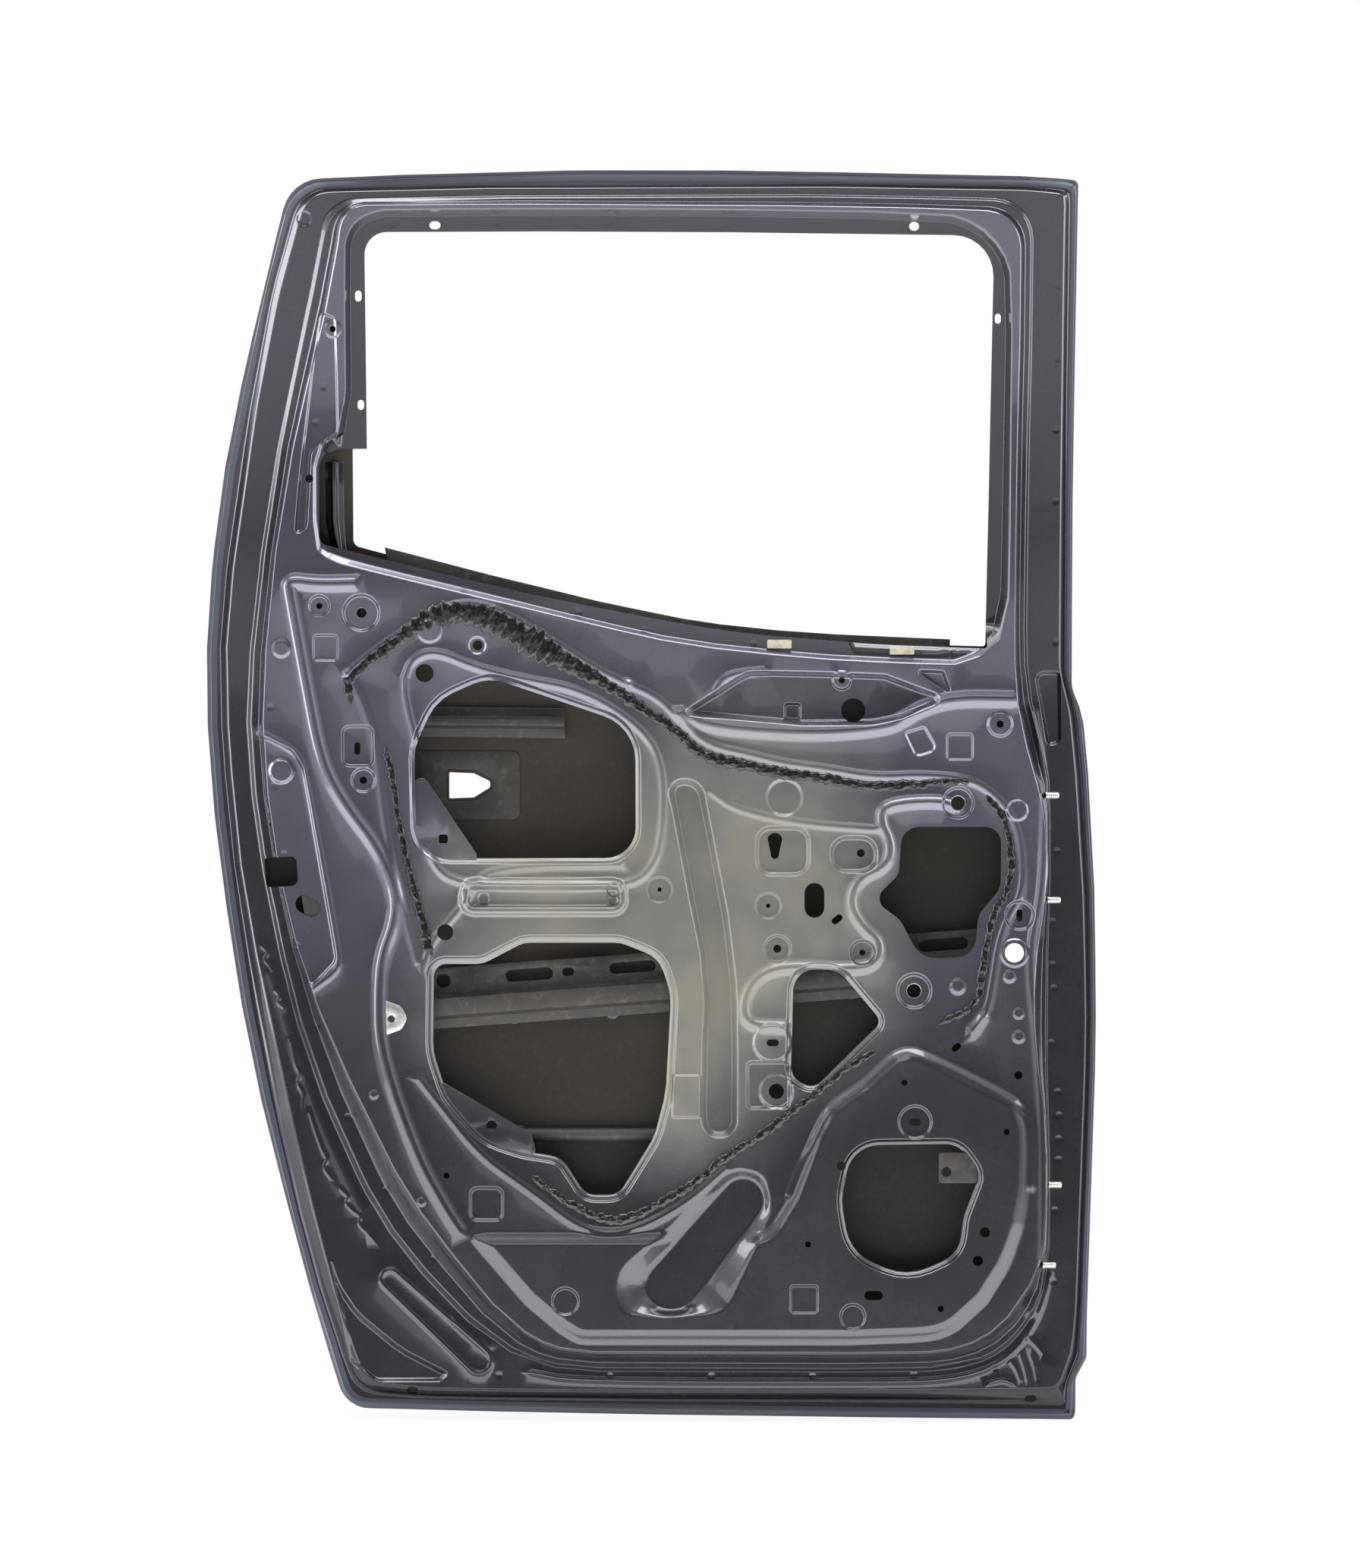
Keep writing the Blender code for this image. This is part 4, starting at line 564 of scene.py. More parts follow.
# The window's wall, from its line on the main face to its foot on the flange: belt, then frame.
WINDOW_OUT = BELT_RIDGE + [
    (353, 780), (355, 909), (356, 1124), (346, 1154), (322, 1178), (288, 1189), (5, 1193.2),
    (-256, 1192.5), (-273.8, 1189.3), (-288.7, 1181.4), (-297.6, 1168.6), (-301, 1152.5), (-301, 970),
    (-334, 967), (-334, 862),
]
WINDOW_IN = BELT_FOOT + [
    (346, 790), (348, 909), (350, 1122), (341, 1150), (318, 1173), (285, 1183.5), (5, 1188),
    (-256, 1187), (-272, 1184), (-285, 1177), (-292.5, 1166), (-295.5, 1152), (-295.5, 972),
    (-328, 969), (-328, 866),
]

# Round bosses: centre, foot and face radius, and rise.
BOSSES = (
    (-285.2, 798, 20, 15, -4), (-326.5, 804.7, 12, 8, -3), (-283.7, 633, 13.5, 9.5, -3),
    (-364.7, 642, 14, 9, 3), (8.7, 525, 14, 11, -3), (116, 509, 14, 11, -3), (125, 466.5, 15, 11, -4),
    (209, 462.7, 14, 10, -4), (260, 425, 19, 14, -4), (303.4, 610.5, 17, 13, -4),
    (344.6, 688.5, 14, 10, 4), (364, 499.5, 16, 12, -4), (188.6, 731.7, 11, 7, 3),
    (260.6, 296, 18, 14, -4), (-84, 120, 15, 11, -3), (199, 105, 14, 10, -3), (-312, 1076, 10, 6, 2.5),
    (-340, 1184, 9, 5, -2.5), (-364, 763, 11, 6, 2), (-171, 766, 10, 6.5, -2),
    (359, 462.7, 15.5, 12, 2), (132, 616, 20, 15, -2), (362, 603.5, 12, 8, 2), (354, 439.5, 8, 3, 2),
    (363, 380, 8, 3, 2), (363, 403, 7, 3, 1.5), (269, 1147, 9, 5, 0), (-273, 323, 6, 2, 1.5),
    (-226, 217.5, 6, 2, 1.5), (303, 429.6, 10, 4, 2), (-218, 781, 14, 10, 2), (120, 374, 21, 16, 3),
    (124, 326, 19, 14, 2.5), (-36, 525, 8, 6, -1.5), (-165, 516.5, 7, 4, -1.5),
    (-35.5, 514.5, 7, 4, -1.5),
)
# Sunk or raised squares: centre, width, height, corner, wall and rise.
PADS = (
    (-320.5, 763.5, 27, 28.5, 6, 3.5, -3), (-289, 666.7, 34, 43, 9, 4, -5),
    (305, 666, 28.5, 28.5, 5, 3.5, -3), (130.5, 563, 57, 52, 17, 6, -5.5),
    (200.5, 559.7, 50, 39, 18, 6, -5.5), (-162, 215, 36, 36, 9, 4.5, -4.5),
    (140, 701, 19, 19, 5, 4, -3), (151, 122, 30, 30, 5, 3.5, -3), (116, 332, 46, 50, 7, 5, -5),
    (35, 321, 31, 45, 4, 3.5, 2.5),
)
# Slots through the sheet: centre, length, width and tilt in degrees.
SLOTS = (
    (-289.7, 664.5, 12.5, 6, 90), (-338.5, 509, 26, 18, -28), (161.6, 514.5, 34.5, 19.5, 90),
    (184, 495.7, 12, 6.5, 40), (120.4, 374, 12, 6.8, 0), (364, 499.5, 12, 6, 90),
    (260.6, 296, 11.5, 7, 0), (219.4, 126, 18, 9, 0), (301.5, 369.5, 10, 6, 40), (-236, 29, 11, 8, 0),
    (376, 21, 11, 7, 0),
)
# Round holes: centre and radius.
PUNCHED = (
    (-223, 738.7, 9), (-170.5, 766, 5), (200, 702, 12), (207.5, 561, 4), (359, 462.7, 9.2),
    (362.6, 342, 4), (188, 253, 4.5), (329, 188, 5), (322, 160, 5), (-202.9, 483, 8), (-201.4, 243, 3),
    (285.4, 113, 3), (155, 176, 3), (250, 335, 3), (350.6, 286.5, 3), (124, 326, 7.5), (-336, 930, 4),
    (-285.2, 798, 5.2), (-283.7, 633, 3.7), (8.7, 525, 2.2), (116, 509, 2.2), (125, 466.5, 4),
    (209, 462.7, 3), (260, 425, 7.5), (303.4, 610.5, 7.5), (344.6, 688.5, 3.7), (188.6, 731.7, 3.2),
    (-326.5, 804.7, 3), (-312, 1076, 3),
)
# A keyhole: two circles (x, z, radius) joined.
KEYHOLE = ((122.7, 573.5, 7.5), (122.7, 559.5, 4.2))
# Forms at the hinge side's jog, the lower rear corner and the belt: x, z and radius.
JOG_POCKET = [(378, 742, 10), (407, 742, 6), (408, 670, 8), (392, 664, 10), (386, 700, 30)]
CORNER_PLATE = [
    (-322, 176, 8), (-307, 134, 30), (-288, 106, 40), (-246, 72, 60), (-196, 46, 8), (-208, 36, 4),
    (-272, 36, 12), (-300, 56, 20),
]
FACET = [(252, 744, 4), (290, 742, 4), (301, 713, 4)]
TILTED_PAD = [(248, 681, 5), (271, 688, 5), (286, 662, 8), (261, 654, 8)]
# Forms pressed into the main face: outline, width of the wall and rise.
FORMS = (
    (LOWER_PLATE, PLATE_WALL, PLATE_RISE), (CHANNEL, 9.0, -9.0), (UPPER_POCKET, 8.0, -8.0),
    (LATCH_PAD, 4.0, -4.0), (PILLAR_RECESS, 4.0, -5.0), (FACET, 5.0, -5.0), (TILTED_PAD, 4.0, -2.5),
)
# Openings with a turned lip, each in a dished ring that starts this far outside it.
LIPPED = ((HOLE_UPPER, 6.5), (HOLE_LOWER, 8.5), (HOLE_TRIANGLE, 7.0), (HOLE_SPEAKER, 6.5))
DISH_WALL = 4.0
DISH_RISE = -3.0
# Forms sunk below the face that they lie on, outside the main face too.
SUNK = ((CORNER_PLATE, 7.0, -5.0), (JOG_POCKET, 5.0, -5.0))
# The long slanting recess's floor and the raised oblong beside the lower seal: two circles each.
RECESS_FLOOR = ((91.0, 219.7, 19.0), (20.6, 135.0, 23.0))
RAISED_OBLONG = ((-258, 139, 9.0), (-170, 58, 12.0))
# Long shallow beads and steps pressed into the sheet: points, half width and height.
BEADS = {
    "rear_s_bead": ([
        (-292, 827), (-330, 826), (-357, 830), (-355, 815), (-340, 730), (-325, 650), (-302, 608),
        (-267, 563), (-251, 518), (-253, 492), (-265, 460), (-268, 427), (-267, 365), (-231, 262),
        (-202, 210), (-188, 189),
    ], 6.0, 5.0),
    "latch_pad_edge": ([
        (-388, 682), (-350, 662), (-342, 647), (-307, 460), (-309, 445), (-331, 429),
    ], 3.5, 2.0),
    "upper_seal_line": ([
        (-300, 738), (-278, 757), (-236, 786), (-196, 808), (-160, 806), (-126, 788), (-92, 768),
        (-52, 742), (-22, 728),
    ], 4.0, 2.2),
    "middle_seal_line": ([
        (-22, 728), (6, 716), (28, 694), (56, 668), (92, 660), (132, 650), (172, 645), (222, 636),
        (268, 639), (318, 634), (346, 614), (362, 588), (368, 552), (366, 520), (352, 497), (343, 470),
        (338, 436), (332, 404), (316, 388),
    ], 4.0, 2.2),
    "lower_seal_line": ([
        (-228, 338), (-212, 318), (-168, 262), (-118, 228), (-72, 192), (-42, 186), (-10, 191),
        (38, 218), (74, 250),
    ], 4.0, 2.2),
    "left_seal_line": ([
        (-230, 454), (-237, 480), (-250, 528), (-262, 590), (-270, 660), (-282, 706), (-300, 738),
    ], 4.0, 1.8),
    "upper_hole_ring": ([
        (-242, 734), (-235, 753), (-212, 761), (-175, 745), (-133, 734), (-68, 722.6), (-12, 688),
        (13, 651), (12, 572), (-3, 539), (-30, 528), (-150, 528), (-195, 533), (-214, 548), (-233, 600),
        (-229, 664), (-242, 711), (-242, 734),
    ], 4.0, 3.0),
    "wiring_ledge": ([
        (300, 608), (280, 613), (232, 609), (226, 594), (238, 569), (233, 548), (205, 536), (196, 511),
        (208, 489), (227, 473), (223, 452), (200, 446), (133, 450), (104, 439), (91, 414), (95, 391),
        (132, 390),
    ], 5.0, 4.5),
    "rib_shoulder": ([(60, 622), (84, 604), (150, 590), (222, 585)], 4.0, 2.0),
    "pocket_foot": ([
        (30, 700), (57, 686), (158, 679), (233, 685), (252, 695), (268, 705), (301, 714), (357, 713),
    ], 6.5, 4.5),
    "pocket_ridge": ([(64, 722), (74, 737), (112, 741)], 4.0, 2.5),
    "oval_tail": ([
        (-226, 445), (-215, 476), (-196, 497), (-178, 520), (-168, 541), (-120, 549), (-30, 550),
    ], 4.0, 2.5),
    "land_swell": ([
        (-376, 440), (-368, 416), (-352, 366), (-338, 326), (-322, 284), (-302, 240), (-288, 212),
    ], 6.0, 1.3),
    "land_swell_low": ([(-192, 98), (-178, 84), (-160, 74)], 5.0, 1.0),
    "bottom_ridge": ([
        (-118, 47), (-73, 38.5), (227, 38), (300, 40), (352, 58), (384, 100), (396, 146),
    ], 3.0, 1.6),
    "crinkle_1": ([(-385, 468), (-379, 462), (-384, 456), (-378, 449)], 1.8, 0.9),
    "crinkle_2": ([(-372, 424), (-367, 419), (-371, 413), (-364, 408)], 1.8, 0.9),
    "crinkle_3": ([
        (-357, 373), (-353, 352), (-347, 341), (-351, 333), (-344, 322), (-345, 309),
    ], 2.0, 1.0),
    "crinkle_4": ([
        (-338, 303), (-333, 287), (-325, 264), (-320, 257), (-325, 250), (-316, 238),
    ], 2.0, 1.0),
    "crinkle_5": ([
        (-307, 227), (-299, 220), (-303, 214), (-294, 205), (-287, 201), (-290, 194), (-281, 185),
    ], 1.9, 1.0),
    "corner_wrinkle_1": ([(356, 58), (362, 50), (365, 41)], 2.2, 1.0),
    "corner_wrinkle_2": ([(366, 64), (370, 52), (373, 39)], 2.2, 1.2),
    "corner_wrinkle_3": ([(376, 65), (380, 54), (382, 42)], 2.4, 1.1),
    "corner_wrinkle_4": ([(336, 38), (348, 41), (358, 37)], 2.4, 0.9),
    "corner_wrinkle_5": ([(372, 82), (380, 76), (388, 66)], 2.6, 0.9),
    "hinge_shoulder": ([
        (380, 700), (388, 655), (389, 600), (386, 520), (376, 478), (374, 443), (379, 400), (383, 345),
        (387, 290), (387, 140), (378, 108),
    ], 4.5, 3.2),
    "hinge_hook": ([(328, 399), (322, 388), (315, 381)], 5.0, 3.0),
    "speaker_contour": ([
        (136, 226), (146, 252), (160, 279), (174, 309), (210, 332), (239, 362), (260, 367), (369, 313),
        (377, 287), (375, 234),
    ], 4.0, 1.6),
}
# Spot welds: round prints, a few tenths deep.
WELDS = [
    (-254.6, 1179), (-150.4, 1181), (-38.6, 1182.7), (76, 1180), (-184, 820.5), (-71, 798.7),
    (-5.6, 782), (101.6, 768), (299, 758.3), (398, 492.7), (398, 450), (399.4, 426.7), (397, 372.7),
    (403, 562.5), (403, 324), (404.6, 300.7), (404, 277.5), (404, 257), (400, 207), (398, 137.2),
    (401, 1119), (400.9, 1048.5), (400.1, 978.7), (400.1, 909), (401, 770), (-375, 705), (-371, 628),
    (-362, 560), (-350, 470), (-330, 390), (-300, 300), (-262, 228), (-214, 160), (-150, 44), (-40, 43),
    (60, 43), (160, 43), (260, 45), (340, 52), (-330, 985), (-322, 1020), (-300, 1110),
]


def smooth_run(points, closed=False, rounds=3):
    """A polyline with its corners cut at a quarter and three quarters, again and again."""
    line = np.array(points, float)
    for _ in range(rounds):
        after = np.roll(line, -1, axis=0) if closed else line[1:]
        before = line if closed else line[:-1]
        cut = np.stack([0.75 * before + 0.25 * after, 0.25 * before + 0.75 * after], axis=1)
        cut = cut.reshape(-1, line.shape[1])
        line = cut if closed else np.vstack([line[:1], cut, line[-1:]])
    return line


def press(up, forms, x, z, where=True):
    """Adds each form's rise to the levels inside its outline, up or down its wall."""
    for foot, width, rise in forms:
        box = near(foot, x, z, 1.0) & where
        if box.any():
            up[box] += rise * ramp(distance(foot, x[box], z[box]) / width, 0.35)


def inner_field():
    """The drawn lines of the inner panel, and the level in mm that they give at any point."""
    hem, land = rounded(HEM_FOOT), rounded(LAND_EDGE)
    shelf_foot, shelf = rounded(SHELF_FOOT), rounded(SHELF_EDGE)
    main_foot, main = rounded(MAIN_FOOT), rounded(MAIN_EDGE)
    window_out = smooth_run(WINDOW_OUT, True, 1)
    window_in = smooth_run(WINDOW_IN, True, 1)
    belt_x, belt_z = np.array(BELT_FOOT).T
    lipped = [rounded(h) for h, _ in LIPPED]
    forms = [(rounded(line), width, rise) for line, width, rise in FORMS]
    forms += [(offset_rows(rounded(h), [-far], 7.0)[0], DISH_WALL, DISH_RISE) for h, far in LIPPED]
    forms += [(rounded(box_outline(x, z, w, h, r)), width, rise) for x, z, w, h, r, width, rise in PADS]
    sunk = [(rounded(line), width, rise) for line, width, rise in SUNK]
    rim, floor = rounded(OBLONG_RIM), capsule(*RECESS_FLOOR)
    bead_ring = rounded(OVAL_BEAD)
    beads = [(smooth_run(points), width, height) for points, width, height in BEADS.values()]
    oblong = capsule(*RAISED_OBLONG, 10)
    beads.append((np.vstack([oblong, oblong[:1]]), 2.6, 1.6))

    def level(x, z):
        up = LAND_LEVEL * wall(hem, land, x, z)
        up += (SHELF_LEVEL - LAND_LEVEL) * wall(shelf_foot, shelf, x, z, 2.0)
        up += (MAIN_LEVEL - SHELF_LEVEL) * wall(main_foot, main, x, z, 3.0)
        press(up, forms, x, z, up > MAIN_LEVEL - 14)
        box = near(bead_ring, x, z, 1.0)
        if box.any():
            d = distance(bead_ring, x[box], z[box])
            up[box] += 5.5 * (ramp(d / 7.0, 0.4) - ramp((d - 9.0) / 6.0, 0.4))
        box = near(rim, x, z, 1.0)
        if box.any():
            share = wall(rim, floor, x[box], z[box], 5.0)
            up[box] = up[box] * (1 - share) + (MAIN_LEVEL + PLATE_RISE - OBLONG_DEPTH) * share
        for cx, cz, foot, top, rise in BOSSES:
            box = (abs(x - cx) < foot) & (abs(z - cz) < foot)
            if box.any():
                d = np.hypot(x[box] - cx, z[box] - cz)
                up[box] += rise * ramp((foot - d) / (foot - top), 0.4)
        for line, width, height in beads:
            box = near(line, x, z, 2.5 * width)
            if box.any():
                up[box] += height * np.exp(-(distance(line, x[box], z[box], False) / width) ** 2)
        for line in lipped:
            box = near(line, x, z, LIP_WIDTH + 1)
            if box.any():
                t = np.clip(1 + distance(line, x[box], z[box]) / LIP_WIDTH, 0, 1)
                up[box] -= LIP_HEIGHT * t ** 2.2
        belt = np.interp(x, belt_x, belt_z)
        side = np.clip((z - belt - 4) / 34, 0, 1) * (x > 200) + (x <= 200) * (z > 900)
        goal = BELT_LEVEL + (FLANGE_LIFT - BELT_LEVEL) * side * side * (3 - 2 * side)
        goal = np.where(x < -318 + 6 * (z > 960), MAIN_LEVEL - 5, goal)
        share = wall(window_out, window_in, x, z, 2.5)
        up = up * (1 - share) + goal * share
        press(up, sunk, x, z)
        for cx, cz in WELDS:
            box = (abs(x - cx) < 2 * WELD_RADIUS) & (abs(z - cz) < 2 * WELD_RADIUS)
            if box.any():
                far = np.hypot(x[box] - cx, z[box] - cz)
                up[box] -= WELD_DEPTH * np.exp(-((far / WELD_RADIUS) ** 4))
        return up

    def surface(x, z):
        return skin_y(x, z) - CLEARANCE - SHEET - level(x, z) * frame_share(z)

    sheet = Pressing(resampled(offset_rows(rounded(DOOR_EDGE), [2.4], 12.0)[0], 12.0))
    for foot, edge, shares in (
        (hem, land, WALL_SHARES), (shelf_foot, shelf, (0, 0.33, 0.67, 1)), (main_foot, main, WALL_SHARES),
        (window_out, window_in, WALL_SHARES),
    ):
        sheet.band(rows_between(foot, edge, shares, 9.0))
    for foot, width, _ in forms + sunk + [(bead_ring, 15.0, 0)]:
        sheet.band(offset_rows(foot, [width * s for s in (0, 0.25, 0.5, 0.75, 1)], 7.0))
    sheet.band(rows_between(rim, floor, WALL_SHARES, 7.0))
    for cx, cz, foot, top, _ in BOSSES:
        sheet.band([circle(cx, cz, top + (foot - top) * s, 20) for s in (0, 0.33, 0.67, 1)])
    for line, width, _ in beads:
        across = [width * s for s in (-1.8, -1.2, -0.7, 0, 0.7, 1.2, 1.8)]
        sheet.band(offset_rows(line, across, 8.0, False), False)
    for cx, cz in WELDS:
        sheet.band([circle(cx, cz, r, 10) for r in (1.8, 3.2, 4.8)])
    for line in lipped:
        sheet.band(offset_rows(line, [-LIP_WIDTH * s for s in (0.25, 0.5, 0.75, 1.0)], 7.0))
        sheet.hole(resampled(line, 7.0))
    sheet.hole(resampled(rounded(HOLE_WIRING), 8.0))
    sheet.hole(resampled(rounded(APERTURE), 9.0))
    sheet.hole(rounded(LATCH_MOUTH))
    sheet.hole(capsule(*KEYHOLE))
    for hole in (*SLOTS, *FLANGE_SLOTS):
        sheet.hole(slot(*hole))
    for x, z, radius in PUNCHED:
        sheet.hole(circle(x, z, radius, 16))
    return sheet, surface


def outer_field():
    """The drawn lines of the outer skin and its outer face, 0.7 mm outside the skin's inner side."""
    sheet = Pressing(resampled(offset_rows(rounded(DOOR_EDGE), [1.2], 12.0)[0], 12.0))
    sheet.hole(resampled(rounded(OUTER_APERTURE), 9.0))
    sheet.hole(rounded(HANDLE_MOUTH))
    for hole in FLANGE_SLOTS:
        sheet.hole(slot(*hole))
    return sheet, skin_y


def hem_fold(look):
    """The skin's edge turned round the inner panel's and pressed flat on it: a ring of sections,
    each run from the skin's edge round a half circle and in to the foot of the first wall."""
    edge = resampled(rounded(DOOR_EDGE), 6.0)
    inward = offset_rows(edge, [1.0], 1000.0)[0] - edge
    goal = rows_between(edge, rounded(HEM_FOOT), (1.0,), 1000.0)[0]
    reach = np.clip(np.hypot(*(goal - edge).T) - 0.8, 3.0, 10.0)
    back = 2 * CLEARANCE + SHEET + SKIN
    # Each section point: mm in from the edge, a share of the fold's reach, and the level in mm.
    profile = (
        (1.25, 0.0, 0.0), (1.25, 0.0, SKIN), (0.55, 0.0, SKIN - 0.1), (0.15, 0.0, SKIN - 0.45),
        (0.0, 0.0, -0.2), (0.0, 0.0, 0.6 - back), (0.15, 0.0, 0.15 - back), (0.6, 0.0, -back),
        (1.2, 0.0, -0.02 - back), (0.0, 0.36, -back), (0.0, 0.44, -0.5 - back), (0.0, 0.53, -back),
        (0.0, 0.94, -back), (0.0, 1.0, 0.15 - back), (0.0, 1.0, SKIN - back), (0.0, 0.5, SKIN - back),
        (1.3, 0.0, SKIN - back), (0.9, 0.0, -0.05),
    )
    rings = []
    for fixed, share, level in profile:
        spot = edge + inward * (fixed + share * reach)[:, None]
        rings.append(placed(spot[:, 0], skin_y(*spot.T) + level, spot[:, 1]))
    return loft("outer_hem", rings, look, True, True)


def loft(name, rings, look, closed_ring, closed_across, caps=False, sharp=38.0):
    """A surface through rings of equal counts: point i of ring j joins point i of ring j + 1."""
    points = np.vstack(rings)
    count, rows = len(rings[0]), len(rings)
    i = np.arange(count if closed_ring else count - 1)
    j = np.arange(rows if closed_across else rows - 1)
    i, j = (v.ravel() for v in np.meshgrid(i, j))
    after, above = (i + 1) % count, (j + 1) % rows
    faces = np.column_stack([j * count + i, j * count + after, above * count + after, above * count + i])
    groups = [faces]
    if caps:
        last = (rows - 1) * count
        for first, turn in ((0, 1), (last, -1)):
            ring = first + np.arange(count)[::turn]
            groups.append(np.column_stack([np.full(count - 2, ring[0]), ring[1:-1], ring[2:]])[:, ::-1])
    # Faces must point out: the signed volume of a closed surface tells.
    volume = 0.0
    for group in groups:
        for k in range(1, group.shape[1] - 1):
            a, b, c = (points[group[:, m]] for m in (0, k, k + 1))
            volume += np.einsum("ij,ij->i", a, np.cross(b, c)).sum()
    if volume < 0:
        groups = [g[:, ::-1] for g in groups]
    return add_mesh(name, points, groups, look, sharp)


def turned(centre, radius, along, axis, sides):
    """A ring of points about a line through the centre, along X for axis 0 and Y for axis 1."""
    angle = 2 * np.pi * np.arange(sides) / sides
    points = np.tile(np.asarray(centre, float), (sides, 1))
    points[:, axis] = along
    points[:, 1 - axis] += radius * np.cos(angle)
    points[:, 2] += radius * np.sin(angle)
    return points


def solid_box(node):
    """A solid's lowest and highest corner and its middle, in metres."""
    low, high = (np.array(corner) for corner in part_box(node))
    return low, high, (low + high) / 2


def ripple(*waves):
    """A repeatable unevenness: a sum of sines of the arguments, about -1 to 1."""
    total = 0.0
    for k, w in enumerate(waves):
        total = total + np.sin(w + 1.7 * k) + 0.5 * np.sin(2.37 * w + 0.9 * k)
    return total / (1.5 * max(len(waves), 1))


# The sealant's section: share of the half width across, and share of the height.
DOME = (
    (-1.0, 0.0), (-0.97, 0.3), (-0.85, 0.6), (-0.66, 0.8), (-0.45, 0.92), (-0.22, 0.98), (0.0, 1.0),
    (0.22, 0.97), (0.44, 0.9), (0.66, 0.78), (0.84, 0.58), (0.97, 0.28), (1.0, 0.0),
)


def bead(name, path, look):
    """Black sealant squeezed on the sheet: along a smoothed path each section is a low dome,
    half width and height varying by sines so that it lies in uneven dabs."""
    line = smooth_run(path)
    far = np.concatenate([[0], np.cumsum(np.hypot(*np.diff(line[:, :2], axis=0).T))])
    at = np.arange(0, far[-1], 1.2)
    x, z, width, height = (np.interp(at, far, line[:, k]) for k in range(4))
    along = np.column_stack([np.gradient(x), np.gradient(z)])
    along /= np.hypot(*along.T)[:, None]
    taper = np.clip(np.minimum(at, far[-1] - at) / 7.0, 0.08, 1) ** 0.6
    uneven = 1 + 0.26 * ripple(at / 9.0, at / 3.7) + 0.22 * ripple(at / 1.7)
    half = 0.5 * width * taper * uneven
    shift = 1.2 * ripple(at / 12.0 + 2.0, at / 4.1)
    tall = height * taper * (0.8 + 0.3 * ripple(at / 6.3 + 4.0, at / 2.1))
    rings = []
    for across, up in DOME:
        rough = 0.24 * ripple(at / 1.9 + 9 * across, at / 3.1 - 7 * across) if 0.1 < up else 0.0
        px = x - along[:, 1] * (across * half + shift)
        pz = z + along[:, 0] * (across * half + shift)
        level = MAIN_LEVEL * frame_share(pz) + CLEARANCE + SHEET + SEALANT_GAP
        rings.append(placed(px, skin_y(px, pz) - level - tall * (up + rough * up), pz))
    return loft(name, rings, look, False, True, sharp=60.0)


class Signal:
    """One node socket's value, so that shader maths reads as an expression."""

    def __init__(self, nodes, socket):
        self.nodes = nodes
        self.socket = socket

    def maths(self, operation, *values):
        return self.nodes.node("ShaderNodeMath", dict(enumerate(values)), operation=operation)[0]

    def __add__(self, other):
        return self.maths("ADD", self, other)

    def __sub__(self, other):
        return self.maths("SUBTRACT", self, other)

    def __rsub__(self, other):
        return self.maths("SUBTRACT", other, self)

    def __mul__(self, other):
        return self.maths("MULTIPLY", self, other)

    def __truediv__(self, other):
        return self.maths("DIVIDE", self, other)

    __radd__ = __add__
    __rmul__ = __mul__

    def greatest(self, other):
        return self.maths("MAXIMUM", self, other)

    def least(self, other):
        return self.maths("MINIMUM", self, other)

    def between(self, low, high):
        """0 at the low value and 1 at the high one, with a smooth step."""
        return self.spread(low, high, 0.0, 1.0)

    def spread(self, low, high, first, last):
        """The first value at low and the last one at high, with a smooth step."""
        ends = {"From Min": low, "From Max": high, "To Min": first, "To Max": last}
        return self.nodes.node(
            "ShaderNodeMapRange", {"Value": self, **ends}, interpolation_type="SMOOTHSTEP",
        )["Result"]


class Nodes:
    """The node tree of a material or a world."""

    def __init__(self, owner):
        owner.use_nodes = True
        self.tree = owner.node_tree

    def feed(self, socket, value):
        """Links or sets one input."""
        if isinstance(value, Signal):
            self.tree.links.new(value.socket, socket)
        elif isinstance(value, (tuple, list)) and len(value) == 3 and len(socket.default_value) == 4:
            socket.default_value = (*value, 1.0)
        else:
            socket.default_value = value

    def node(self, kind, inputs=None, **settings):
        """Adds a node: its settings first, then the values or links of its sockets. Gives what its
        outputs hold, by name and by number."""
        made = self.tree.nodes.new(kind)
        for key, value in settings.items():
            setattr(made, key, value)
        for key, value in (inputs or {}).items():
            self.feed(made.inputs[key], value)
        outs = {}
        for k, out in enumerate(made.outputs):
            outs[k] = Signal(self, out)
            if out.enabled:
                outs[out.name] = outs[k]
        return outs

    def seen(self):
        """1 for the camera's own rays, and 1 for every ray that shows the surroundings themselves:
        seen, mirrored or let through."""
        path = self.node("ShaderNodeLightPath")
        camera = path["Is Camera Ray"]
        return camera, camera.greatest(path["Is Glossy Ray"]).greatest(path["Is Transmission Ray"])


